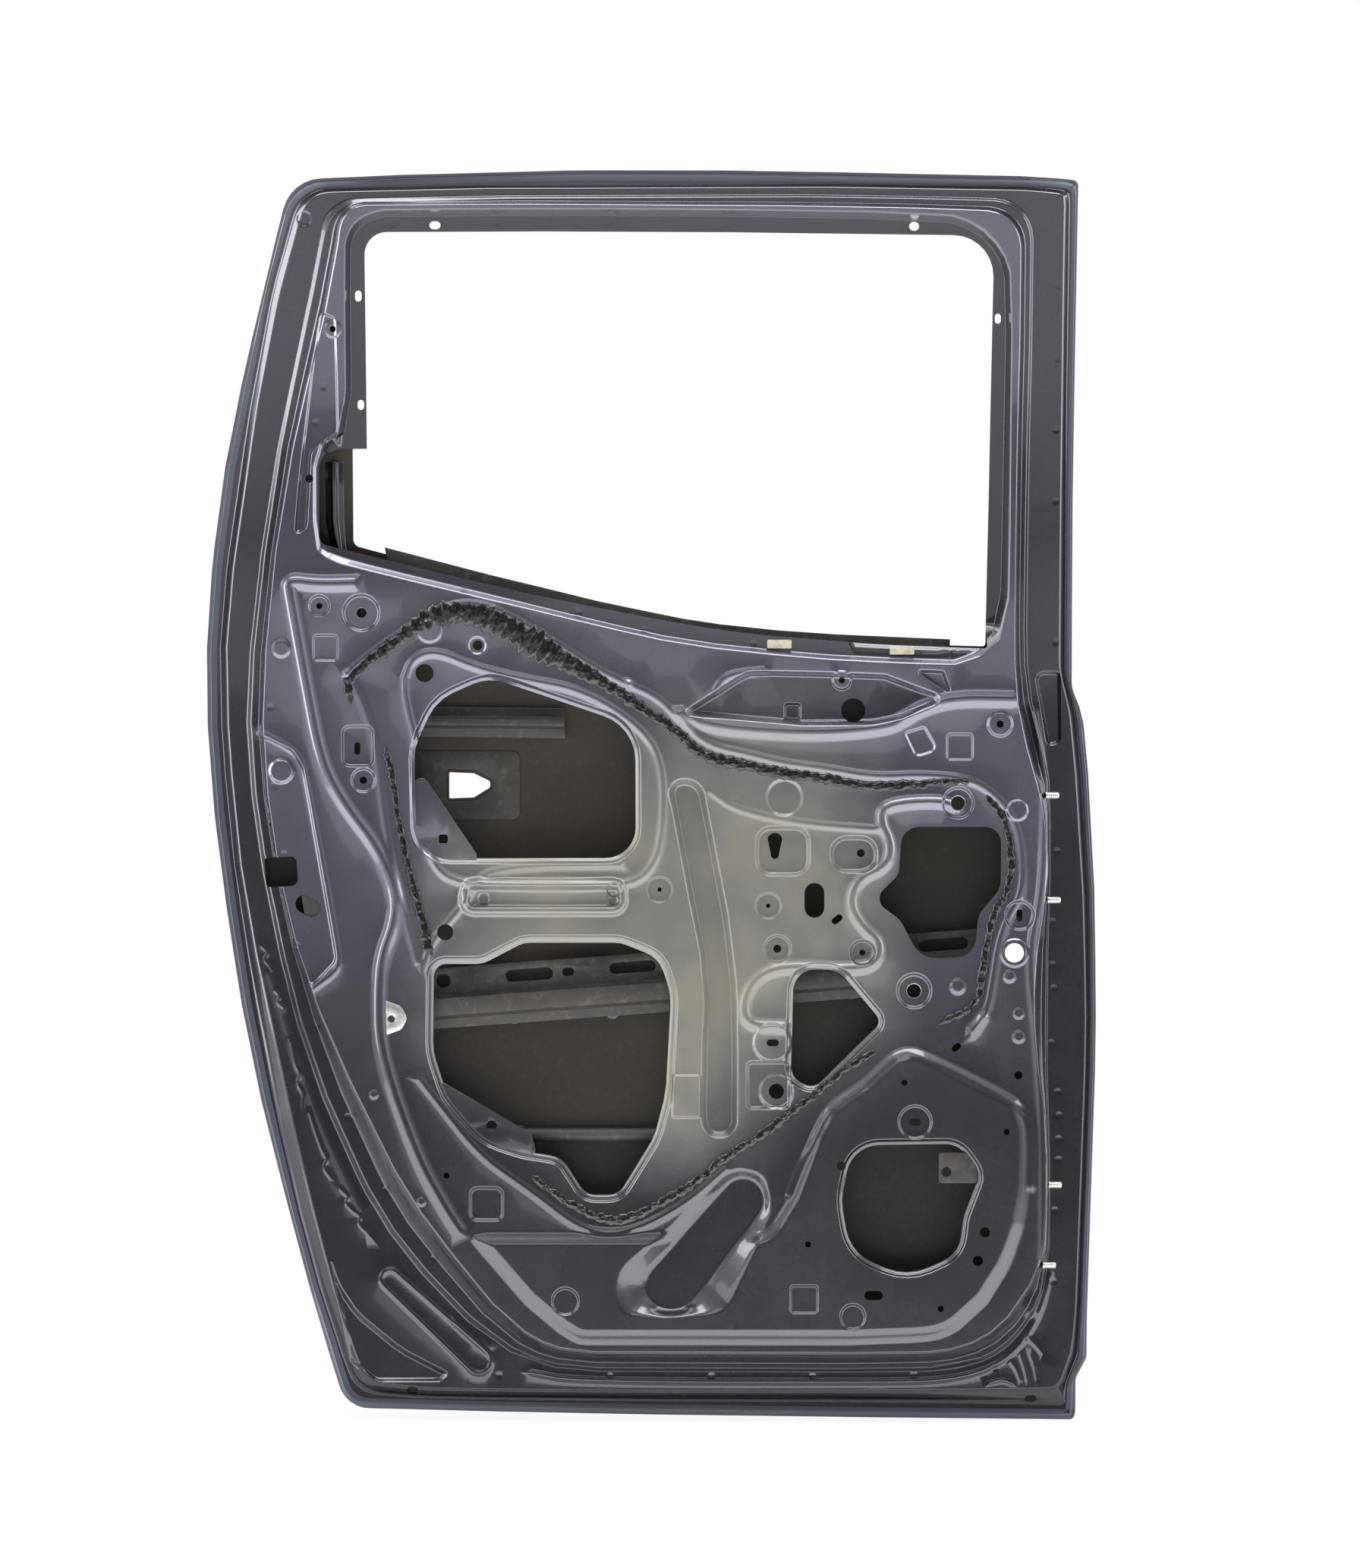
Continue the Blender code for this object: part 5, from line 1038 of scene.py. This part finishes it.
class Finish(Nodes):
    """A material and its Principled shader."""

    def __init__(self, name, **constants):
        self.material = bpy.data.materials.new(name)
        super().__init__(self.material)
        self.shader = self.tree.nodes["Principled BSDF"]
        self.wear(**constants)
        self.place = self.node("ShaderNodeTexCoord")["Object"]
        parts = self.node("ShaderNodeSeparateXYZ", {"Vector": self.place})
        self.x, self.y, self.z = parts["X"], parts["Y"], parts["Z"]

    def noise(self, scale, detail=3.0, roughness=0.55, stretch=None, shift=0.0):
        """Noise from 0 to 1 with this many grains to a metre."""
        vector = self.place
        if stretch or shift:
            vector = self.node("ShaderNodeMapping", {
                "Vector": vector, "Scale": stretch or (1, 1, 1), "Location": (shift, shift, shift),
            })["Vector"]
        return self.node("ShaderNodeTexNoise", {
            "Vector": vector, "Scale": scale, "Detail": detail, "Roughness": roughness,
        })[0]

    def mix(self, share, first, second):
        """One colour turning into another: sockets 6, 7 and 2 are the colour ones."""
        return self.node("ShaderNodeMix", {0: share, 6: first, 7: second}, data_type="RGBA")[2]

    def bump(self, height, far, strength=1.0, after=None):
        """A relief this far in metres from its lowest to its highest, over another one."""
        inputs = {"Height": height, "Distance": far, "Strength": strength}
        if after is not None:
            inputs["Normal"] = after
        return self.node("ShaderNodeBump", inputs)["Normal"]

    def wear(self, **inputs):
        """Links or sets the shader's inputs, and gives the material."""
        for key, value in inputs.items():
            self.feed(self.shader.inputs[key.replace("_", " ")], value)
        return self.material


def standing(f):
    """How far a point stands off the outer skin in mm, by the parabolas of skin_y. The frame's
    slimmer levels are stretched to the scale of the others."""
    rise = f.z / MM + (HINGE_Z - WIDEST_Z)
    above = rise.greatest(0.0) / LEAN_HEIGHT
    below = rise.least(0.0) / WIDEST_Z
    across = (f.x / MM + HINGE_X) / HALF_WIDTH
    skin = above * above * -LEAN - below * below * TUCK - across * across * BOW
    origin = float(skin_y(HINGE_X, HINGE_Z)) - HINGE_LEVEL
    slim = (rise + WIDEST_Z).between(FRAME_FOOT_Z, FRAME_FULL_Z) * (1.0 - FRAME_SHARE)
    return (skin - f.y / MM - (origin + CLEARANCE + SHEET)) / (1.0 - slim)


# The dusty zone: its middle beside and below the hinge line, and its reach, in metres.
DUSTY_ASIDE, DUSTY_BELOW = 0.395, 0.095
DUSTY_HALF_WIDTH, DUSTY_HALF_HEIGHT = 0.30, 0.255


def slate_paint(sizes):
    """Thin factory primer: glossy slate at the edges, dusty olive and matte over the middle. Outside the
    middle it carries painted shade: darker towards the bottom, and on the low terraces and the window's
    flange.
    """
    f = Finish("slate_paint", IOR=1.5, Coat_Roughness=0.06, Coat_IOR=1.5)
    across = (f.x + DUSTY_ASIDE) / DUSTY_HALF_WIDTH
    up = (f.z + DUSTY_BELOW) / DUSTY_HALF_HEIGHT
    cloud = f.noise(3.2, 4.0, 0.6)
    spread = across * across + up * up + (cloud - 0.5) * 1.3
    dusty = 1.0 - spread.between(0.15, 1.0)
    patch = f.noise(9.0, 5.0, 0.62, None, 3.1).between(0.40, 0.66)
    streak = f.noise(14.0, 4.0, 0.6, (1.0, 1.0, 0.12), 1.7).between(0.45, 0.7)
    fine = f.noise(160.0, 3.0, 0.6)
    speck = f.noise(420.0, 2.0, 0.5, None, 7.7).between(0.66, 0.72)
    share = (dusty * (0.74 + 0.3 * patch) + 0.10 * streak * (1.0 - dusty)).least(1.0)
    base = f.mix(share, tuple(sizes.slate), tuple(sizes.olive))
    # Painted shade: outside the dusty middle the paint turns darker towards the bottom, from about 590 mm up
    # the door down to 270 mm.
    low = (f.z * -1.0).between(-0.02, 0.30) * (1.0 - dusty)
    base = f.mix(low * 0.85, base, (0.030, 0.029, 0.034))
    # Painted shade: outside the dusty middle, the hem land, shelf and window flange, standing less than 39
    # to 46 mm off the skin, are darkened, a fifth less high up the frame.
    deep = (1.0 - standing(f).between(39.0, 46.0)) * (1.0 - dusty) * (1.0 - 0.2 * f.z.between(0.25, 0.60))
    base = f.mix(deep * 0.85, base, (0.026, 0.026, 0.034))
    base = f.mix(fine.between(0.35, 0.75) * (0.03 + 0.12 * share), base, (0.16, 0.155, 0.15))
    base = f.mix(speck * (0.08 + 0.1 * share), base, (0.35, 0.34, 0.32))
    rough = 0.24 + 0.16 * share + 0.05 * (fine - 0.5) + 0.05 * patch
    grain = f.bump(f.noise(900.0, 2.0, 0.5), 0.00003, 0.1)
    waves = f.bump(f.noise(22.0, 1.5, 0.4, None, 5.0), 0.0010, 0.22, grain)
    return f.wear(
        Base_Color=base, Roughness=rough, Normal=waves, Metallic=0.75 - 0.45 * share,
        Coat_Weight=0.9 - 0.55 * share,
    )


def hem_paint(sizes):
    """The same paint where the hem was brushed: cooler and more even."""
    f = Finish("hem_paint", Metallic=0.6, Coat_Roughness=0.12)
    fine = f.noise(140.0, 3.0, 0.6)
    cloud = f.noise(7.0, 3.0, 0.55)
    base = f.mix(cloud, tuple(c * 1.05 for c in sizes.slate), (0.060, 0.078, 0.095))
    base = f.mix(fine.between(0.45, 0.8) * 0.06, base, (0.16, 0.17, 0.17))
    grain = f.bump(f.noise(800.0, 2.0, 0.5), 0.00008, 0.2)
    return f.wear(
        Base_Color=base, Roughness=0.30 + 0.12 * fine, Normal=grain, Coat_Weight=0.55 + 0.2 * cloud,
    )


def cavity_primer():
    """Dull primer inside the door, thin enough to be patchy."""
    f = Finish("cavity_primer", Metallic=0.0)
    cloud = f.noise(6.0, 4.0, 0.6, None, 2.0)
    fine = f.noise(120.0, 3.0, 0.6)
    base = f.mix(cloud.between(0.3, 0.7), (0.022, 0.019, 0.017), (0.044, 0.038, 0.032))
    base = f.mix(fine.between(0.5, 0.8) * 0.3, base, (0.16, 0.15, 0.13))
    grain = f.bump(f.noise(700.0, 2.0, 0.5), 0.00012, 0.4)
    return f.wear(Base_Color=base, Roughness=0.42 + 0.2 * cloud, Normal=grain)


def skin_paint():
    """Patchy warm primer on the outer skin, with painted shade: darker towards the bottom and towards the
    hinge side.
    """
    f = Finish("skin_paint", Metallic=0.0, Coat_Roughness=0.1, Specular_IOR_Level=0.3)
    cloud = f.noise(4.0, 4.0, 0.55, None, 4.0)
    fine = f.noise(150.0, 3.0, 0.6)
    base = f.mix(cloud.between(0.3, 0.7), (0.029, 0.022, 0.017), (0.046, 0.037, 0.028))
    # Painted shade: darker from the hinge's height, 570 mm up the door, down to 170 mm.
    base = f.mix((f.z * -1.0).between(0.0, 0.40) * 0.8, base, (0.018, 0.016, 0.015))
    # Painted shade: darker towards the hinge side, from 75 mm across the door to 255 mm and beyond.
    base = f.mix(f.x.between(-0.34, -0.16) * 0.7, base, (0.014, 0.012, 0.010))
    base = f.mix(fine.between(0.5, 0.8) * 0.06, base, (0.2, 0.19, 0.17))
    grain = f.bump(f.noise(800.0, 2.0, 0.5), 0.0001, 0.3)
    return f.wear(Base_Color=base, Roughness=0.34 + 0.12 * cloud, Normal=grain, Coat_Weight=0.2 - 0.1 * fine)


def bare_steel():
    """Plated fasteners with a faint turned grain and dull spots."""
    f = Finish("bare_steel")
    fine = f.noise(300.0, 3.0, 0.6)
    dull = f.noise(60.0, 3.0, 0.6, None, 9.0).between(0.5, 0.75)
    base = f.mix(dull * 0.6, (0.72, 0.71, 0.68), (0.34, 0.31, 0.26))
    grain = f.bump(f.noise(900.0, 2.0, 0.5, (0.2, 1.0, 1.0)), 0.0001, 0.4)
    return f.wear(
        Base_Color=base, Roughness=0.24 + 0.22 * fine + 0.15 * dull, Metallic=1.0 - 0.35 * dull,
        Normal=grain,
    )


def black_butyl(sizes):
    """Sticky black sealant, glossy with a puckered skin and a little dust."""
    f = Finish("black_butyl", Metallic=0.0, Coat_Roughness=0.08, Specular_IOR_Level=0.3)
    pucker = f.noise(210.0, 3.0, 0.6)
    dust = f.noise(75.0, 4.0, 0.65, None, 6.0).between(0.52, 0.72)
    base = f.mix(dust * 0.4, tuple(sizes.butyl), (0.012, 0.012, 0.013))
    skin = f.bump(pucker, 0.0016, 0.65)
    fold = f.bump(f.noise(620.0, 2.0, 0.5), 0.0004, 0.5, skin)
    return f.wear(Base_Color=base, Roughness=0.16 + 0.30 * dust, Normal=fold, Coat_Weight=0.7 - 0.65 * dust)


def beige_tape():
    """Felt tape left on the belt, creased and soiled."""
    f = Finish("beige_tape", Metallic=0.0)
    weave = f.noise(1100.0, 2.0, 0.5)
    soil = f.noise(90.0, 4.0, 0.6, None, 2.0).between(0.42, 0.68)
    base = f.mix(soil * 0.7, (0.50, 0.455, 0.36), (0.20, 0.185, 0.15))
    nap = f.bump(weave, 0.0003, 0.6, f.bump(f.noise(170.0, 3.0, 0.5), 0.0012, 0.6))
    return f.wear(Base_Color=base, Roughness=0.78 + 0.15 * weave, Normal=nap)


def white_plug():
    """Moulded white plastic plug with faint scuffs."""
    f = Finish("white_plug", Metallic=0.0)
    scuff = f.noise(260.0, 3.0, 0.6).between(0.55, 0.8)
    base = f.mix(scuff * 0.3, (0.86, 0.86, 0.84), (0.62, 0.61, 0.58))
    return f.wear(Base_Color=base, Roughness=0.36 + 0.2 * scuff, Normal=f.bump(f.noise(900.0), 0.0001, 0.3))


def settle(piece, slot_name, *nodes):
    """A finished piece rides on the door and stands for its solids, which are hidden; its slot's name is not
    used.
    """
    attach(piece, "root")
    if nodes:
        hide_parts(*nodes)
    return piece


def softened(node, look, width=0.0006):
    """A copy of a solid with its corners joined up, its hard edges rounded and its own finish."""
    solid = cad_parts[node]
    mesh = solid.data.copy()
    made = bpy.data.objects.new(node + "_dressed", mesh)
    bpy.context.scene.collection.objects.link(made)
    made.matrix_world = solid.matrix_world.copy()
    weld = made.modifiers.new("join_up", "WELD")
    weld.merge_threshold = 0.00002
    bevel = made.modifiers.new("round_edges", "BEVEL")
    bevel.width = width
    bevel.segments = 2
    bevel.limit_method = "ANGLE"
    bevel.angle_limit = math.radians(HARD_EDGE)
    mesh.materials.clear()
    mesh.materials.append(look)
    for polygon in mesh.polygons:
        polygon.use_smooth = True
    bpy.context.view_layer.update()
    graph = bpy.context.evaluated_depsgraph_get()
    final = bpy.data.meshes.new_from_object(made.evaluated_get(graph))
    made.modifiers.clear()
    made.data = final
    final.set_sharp_from_angle(angle=math.radians(40.0))
    return made


# The threads' radii in the weld nuts, in mm.
NUT_BORES = (5.0, 4.2, 3.2, 7.0, 7.0, 3.6)
# Soft lamps: name, place, what each is turned to, width and height in metres, and watts.
LAMPS = (
    ("overhead", (-0.45, -0.35, 2.5), (-0.45, -0.2, 0.0), 2.8, 1.4, 92.0),
    ("front_high", (-0.75, -3.4, 2.5), (-0.4, 0.0, 0.05), 2.4, 0.9, 14.0),
    ("side_left", (-2.5, -0.25, 0.25), (-0.4, -0.2, 0.1), 1.1, 2.6, 56.0),
    ("side_right", (1.7, -0.25, 0.25), (-0.4, -0.2, 0.1), 1.1, 2.4, 38.0),
    ("floor_glow", (-0.4, -0.575, -0.56), (-0.4, -0.575, 1.5), 2.8, 1.0, 20.0),
    ("cabin_left", (-3.4, -3.0, 0.9), (-0.4, 0.0, 0.05), 1.0, 1.8, 12.0),
)
# The camera's view: its middle on the door in mm, and its height at the door in metres.
VIEW_X, VIEW_Z = 28.9, 629.3
VIEW_HEIGHT = 1.5495
SENSOR = 36.0
STAGE_WHITE = 0.86


class DoorShellSizes(bpy.types.PropertyGroup):
    """Sizes and colours that a user would change."""

    panel_pitch: FloatProperty(
        name="Flat mesh pitch", description="Spacing of mesh points on the inner panel's flats, in mm",
        default=15.0, min=6.0, max=40.0,
    )
    skin_pitch: FloatProperty(
        name="Skin mesh pitch", description="Spacing of mesh points on the outer skin, in mm",
        default=22.0, min=8.0, max=60.0,
    )
    thread_turns: IntProperty(
        name="Thread turns", description="Ridges of thread on each hinge stud", default=8, min=2, max=16,
    )
    slate: FloatVectorProperty(
        name="Slate primer", description="Colour of the glossy primer near the edges",
        subtype="COLOR", default=(0.118, 0.120, 0.154), min=0.0, max=1.0,
    )
    olive: FloatVectorProperty(
        name="Dusty primer", description="Colour of the matte primer over the middle",
        subtype="COLOR", default=(0.175, 0.168, 0.140), min=0.0, max=1.0,
    )
    butyl: FloatVectorProperty(
        name="Sealant", description="Colour of the black sealant",
        subtype="COLOR", default=(0.0035, 0.0035, 0.004), min=0.0, max=1.0,
    )
    camera_distance: FloatProperty(
        name="Camera distance", description="How far the camera stands from the door, in metres",
        subtype="DISTANCE", default=6.5, min=2.0, max=20.0,
    )


class DOOR_OT_inner_panel(bpy.types.Operator):
    """Press the cabin-side panel"""

    bl_idname = "door.inner_panel"
    bl_label = "Inner panel"
    bl_options = {"REGISTER", "UNDO"}

    def execute(self, context):
        sizes = context.scene.door_shell_sizes
        sheet, surface = inner_field()
        made = sheet.build("inner_panel_pressed", surface, SHEET, sizes.panel_pitch, slate_paint(sizes))
        settle(made, "slate_paint", "inner_panel")
        return {"FINISHED"}


class DOOR_OT_outer_panel(bpy.types.Operator):
    """Press the outer skin and fold its hem over the inner panel"""

    bl_idname = "door.outer_panel"
    bl_label = "Outer panel"
    bl_options = {"REGISTER", "UNDO"}

    def execute(self, context):
        sizes = context.scene.door_shell_sizes
        sheet, surface = outer_field()
        skin = sheet.build("outer_skin", surface, -SKIN, sizes.skin_pitch, skin_paint())
        hem = hem_fold(hem_paint(sizes))
        settle(skin, "slate_paint", "outer_panel")
        settle(hem, "slate_paint")
        return {"FINISHED"}


class DOOR_OT_cavity_pieces(bpy.types.Operator):
    """Dress the beam, brackets and reinforcements inside the door"""

    bl_idname = "door.cavity_pieces"
    bl_label = "Inner steelwork"
    bl_options = {"REGISTER", "UNDO"}

    def execute(self, context):
        sizes = context.scene.door_shell_sizes
        look = cavity_primer()
        for node in (
            "belt_reinforcement_inner", "belt_reinforcement_outer", "handle_rail",
            "handle_reinforcement", "hinge_reinforcement_lower", "hinge_reinforcement_upper", "impact_beam",
            "impact_beam_front_bracket", "impact_beam_rear_bracket", "latch_reinforcement",
            "lower_stiffener", "speaker_bracket",
        ):
            settle(softened(node, look), "thin_primer", node)
        slate = slate_paint(sizes)
        for node in ("handle_gusset", "lower_gusset", "rear_run_channel"):
            settle(softened(node, slate), "thin_primer", node)
        return {"FINISHED"}


class DOOR_OT_sealant(bpy.types.Operator):
    """Lay the torn runs of sealant and the mastic pads"""

    bl_idname = "door.sealant"
    bl_label = "Sealant and mastic"
    bl_options = {"REGISTER", "UNDO"}

    def execute(self, context):
        sizes = context.scene.door_shell_sizes
        look = black_butyl(sizes)
        for name, path in SEALANT_RUNS.items():
            settle(bead(name + "_dabs", path, look), "black_butyl", name)
        for number in range(1, 9):
            node = f"mastic_pad_{number}"
            settle(softened(node, look, 0.0009), "black_butyl", node)
        return {"FINISHED"}


class DOOR_OT_fasteners(bpy.types.Operator):
    """Turn the hinge studs, weld nuts and the latch's nut plate"""

    bl_idname = "door.fasteners"
    bl_label = "Studs and nuts"
    bl_options = {"REGISTER", "UNDO"}

    def execute(self, context):
        sizes = context.scene.door_shell_sizes
        look = bare_steel()
        for number in range(1, 5):
            node = f"hinge_stud_{number}"
            settle(self.stud(node, sizes.thread_turns, look), "bare_steel", node)
        settle(softened("trim_nut_plate", look, 0.0004), "bare_steel", "trim_nut_plate")
        for number, bore in enumerate(NUT_BORES, 1):
            node = f"weld_nut_{number}"
            settle(self.nut(node, bore * MM, look), "bare_steel", node)
        return {"FINISHED"}

    def nut(self, node, bore, look):
        """A hexagon weld nut. Each ring is part of the way from the bore's circle to the hexagon,
        whose radius at an angle is its apothem over the cosine."""
        low, high, centre = solid_box(node)
        sides = 48
        turn = 2 * np.pi * np.arange(sides) / sides
        apothem = 0.5 * min(high[0] - low[0], high[2] - low[2]) * 0.98
        corner = np.minimum(apothem / np.cos((turn + np.pi / 6) % (np.pi / 3) - np.pi / 6), apothem * 1.1)
        face, back = low[1] + 0.0002, high[1] - 0.0002
        sections = (
            (0, face), (0.12, face - 0.0001), (0.9, face), (1, face + 0.0004), (1, back), (0.1, back),
            (0, face),
        )
        rings = [turned(centre, bore * (1 - s) + corner * s, depth, 1, sides) for s, depth in sections]
        return loft(node + "_threaded", rings, look, True, False, sharp=40.0)

    def stud(self, node, turns, look):
        """A threaded weld stud: the radius over its length is a saw of ridges, then a chamfer."""
        low, high, centre = solid_box(node)
        radius = (high[2] - low[2]) / 2
        thread_start, thread_length = 0.12, 0.78
        profile = [(0.0, 0.93), (0.02, 1.0), (0.10, 1.0), (thread_start, 0.86)]
        for k in range(turns):
            start = thread_start + thread_length * k / turns
            step = thread_length / turns
            profile += [(start + 0.3 * step, 0.99), (start + 0.55 * step, 0.99), (start + 0.95 * step, 0.84)]
        profile += [(0.93, 0.97), (0.99, 0.80), (1.0, 0.74)]
        rings = [turned(centre, s * radius, low[0] + (high[0] - low[0]) * a, 0, 24) for a, s in profile]
        return loft(node + "_threaded", rings, look, True, False, caps=True, sharp=50.0)


class DOOR_OT_small_trim(bpy.types.Operator):
    """Put on the belt's felt tape and the white hole plug"""

    bl_idname = "door.small_trim"
    bl_label = "Tape and plug"
    bl_options = {"REGISTER", "UNDO"}

    def execute(self, context):
        look = beige_tape()
        for node in ("belt_tape_1", "belt_tape_2"):
            settle(softened(node, look, 0.0007), "beige_tape", node)
        low, high, centre = solid_box("hole_plug")
        radius = (high[0] - low[0]) / 2
        deep = high[1] - low[1]
        # The plug's section: share of the radius, and share of the depth from its face.
        profile = (
            (0.05, 0.16), (0.55, 0.15), (0.68, 0.06), (0.80, 0.0), (0.93, 0.06), (1.0, 0.35), (1.0, 0.8),
            (0.92, 1.0), (0.05, 1.0),
        )
        rings = [turned(centre, s * radius, low[1] + d * deep, 1, 48) for s, d in profile]
        plug = loft("hole_plug_moulded", rings, white_plug(), True, False, caps=True)
        settle(plug, "white_plug", "hole_plug")
        return {"FINISHED"}


class DOOR_OT_stage(bpy.types.Operator):
    """Set the white floor, the soft lamps, the surroundings and the camera"""

    bl_idname = "door.stage"
    bl_label = "Stage"
    bl_options = {"REGISTER", "UNDO"}

    def execute(self, context):
        sizes = context.scene.door_shell_sizes
        low = CAD_BOX[0][2]
        edge = [(-6.0, low), (0.53, low), (0.537, low + 0.004), (0.54, low + 0.012)]
        rows = [np.array([[-7.0, y, z], [6.0, y, z]]) for y, z in edge]
        floor = loft("studio_floor", rows, self.backdrop(), False, False)
        for lamp in LAMPS:
            self.lamp(*lamp)
        self.air()
        bpy.context.scene.view_settings.view_transform = "Standard"
        self.camera(sizes)
        return {"FINISHED"}

    def air(self):
        """White surroundings, dimmer in gloss towards the cabin side, as a studio is."""
        world = bpy.data.worlds.new("studio_air")
        nodes = Nodes(world)
        where = nodes.node("ShaderNodeTexCoord")["Generated"]
        parts = nodes.node("ShaderNodeSeparateXYZ", {"Vector": where})
        side = parts["Y"].spread(-0.95, -0.35, 0.16, 1.0)
        camera, seen = nodes.seen()
        share = nodes.node("ShaderNodeMix", {0: seen, 2: 0.38, 3: side})[0]
        background = nodes.tree.nodes["Background"]
        nodes.feed(background.inputs["Color"], (1.0, 1.0, 1.0))
        nodes.feed(background.inputs["Strength"], share.greatest(camera))
        bpy.context.scene.world = world

    def backdrop(self):
        """A white sheet that shows white to the camera and keeps the door's contact shadow."""
        sheet = Finish("studio_white", Base_Color=(STAGE_WHITE,) * 3, Roughness=0.75)
        white = sheet.node("ShaderNodeEmission", {"Strength": 1.0})["Emission"]
        _, seen = sheet.seen()
        matte = Signal(sheet, sheet.shader.outputs[0])
        blend = sheet.node("ShaderNodeMixShader", {0: seen * STAGE_WHITE, 1: matte, 2: white})
        sheet.feed(sheet.tree.nodes["Material Output"].inputs["Surface"], blend["Shader"])
        return sheet.material

    def lamp(self, name, place, aim, width, height, watts):
        """A rectangular soft lamp, not seen itself."""
        data = bpy.data.lights.new(name, "AREA")
        data.shape = "RECTANGLE"
        data.size, data.size_y = width, height
        data.energy = watts
        made = bpy.data.objects.new(name, data)
        made.location = place
        made.visible_camera = False
        made.rotation_euler = (Vector(aim) - Vector(place)).to_track_quat("-Z", "Y").to_euler()
        bpy.context.scene.collection.objects.link(made)

    def camera(self, sizes):
        """Level with the door's middle, square on, and far enough off to flatten the perspective."""
        data = bpy.data.cameras.new("photo_camera")
        data.sensor_fit = "VERTICAL"
        data.sensor_height = SENSOR
        data.sensor_width = SENSOR
        data.lens = SENSOR * sizes.camera_distance / VIEW_HEIGHT
        data.clip_end = 60.0
        made = bpy.data.objects.new("photo_camera", data)
        made.location = ((VIEW_X - HINGE_X) * MM, -sizes.camera_distance, (VIEW_Z - HINGE_Z) * MM)
        made.rotation_euler = (math.pi / 2, 0.0, 0.0)
        bpy.context.scene.collection.objects.link(made)
        bpy.context.scene.camera = made


# The operators in the order that they are run.
PIECES = (
    DOOR_OT_stage, DOOR_OT_outer_panel, DOOR_OT_cavity_pieces, DOOR_OT_inner_panel, DOOR_OT_sealant,
    DOOR_OT_fasteners, DOOR_OT_small_trim,
)


class DOOR_PT_shell(bpy.types.Panel):
    """The door shell's pieces, in the order that they are made"""

    bl_idname = "DOOR_PT_shell"
    bl_label = "Door shell"
    bl_space_type = "VIEW_3D"
    bl_region_type = "UI"
    bl_category = "Door"

    def draw(self, context):
        sizes = context.scene.door_shell_sizes
        for name in DoorShellSizes.__annotations__:
            self.layout.prop(sizes, name)
        for piece in PIECES:
            self.layout.operator(piece.bl_idname)


def register():
    for kind in (DoorShellSizes, *PIECES, DOOR_PT_shell):
        bpy.utils.register_class(kind)
    bpy.types.Scene.door_shell_sizes = PointerProperty(type=DoorShellSizes)


def unregister():
    del bpy.types.Scene.door_shell_sizes
    for kind in reversed((DoorShellSizes, *PIECES, DOOR_PT_shell)):
        bpy.utils.unregister_class(kind)


def main():
    register()
    for piece in PIECES:
        family, name = piece.bl_idname.split(".")
        getattr(getattr(bpy.ops, family), name)()
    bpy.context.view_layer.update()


if __name__ == "__main__":
    main()
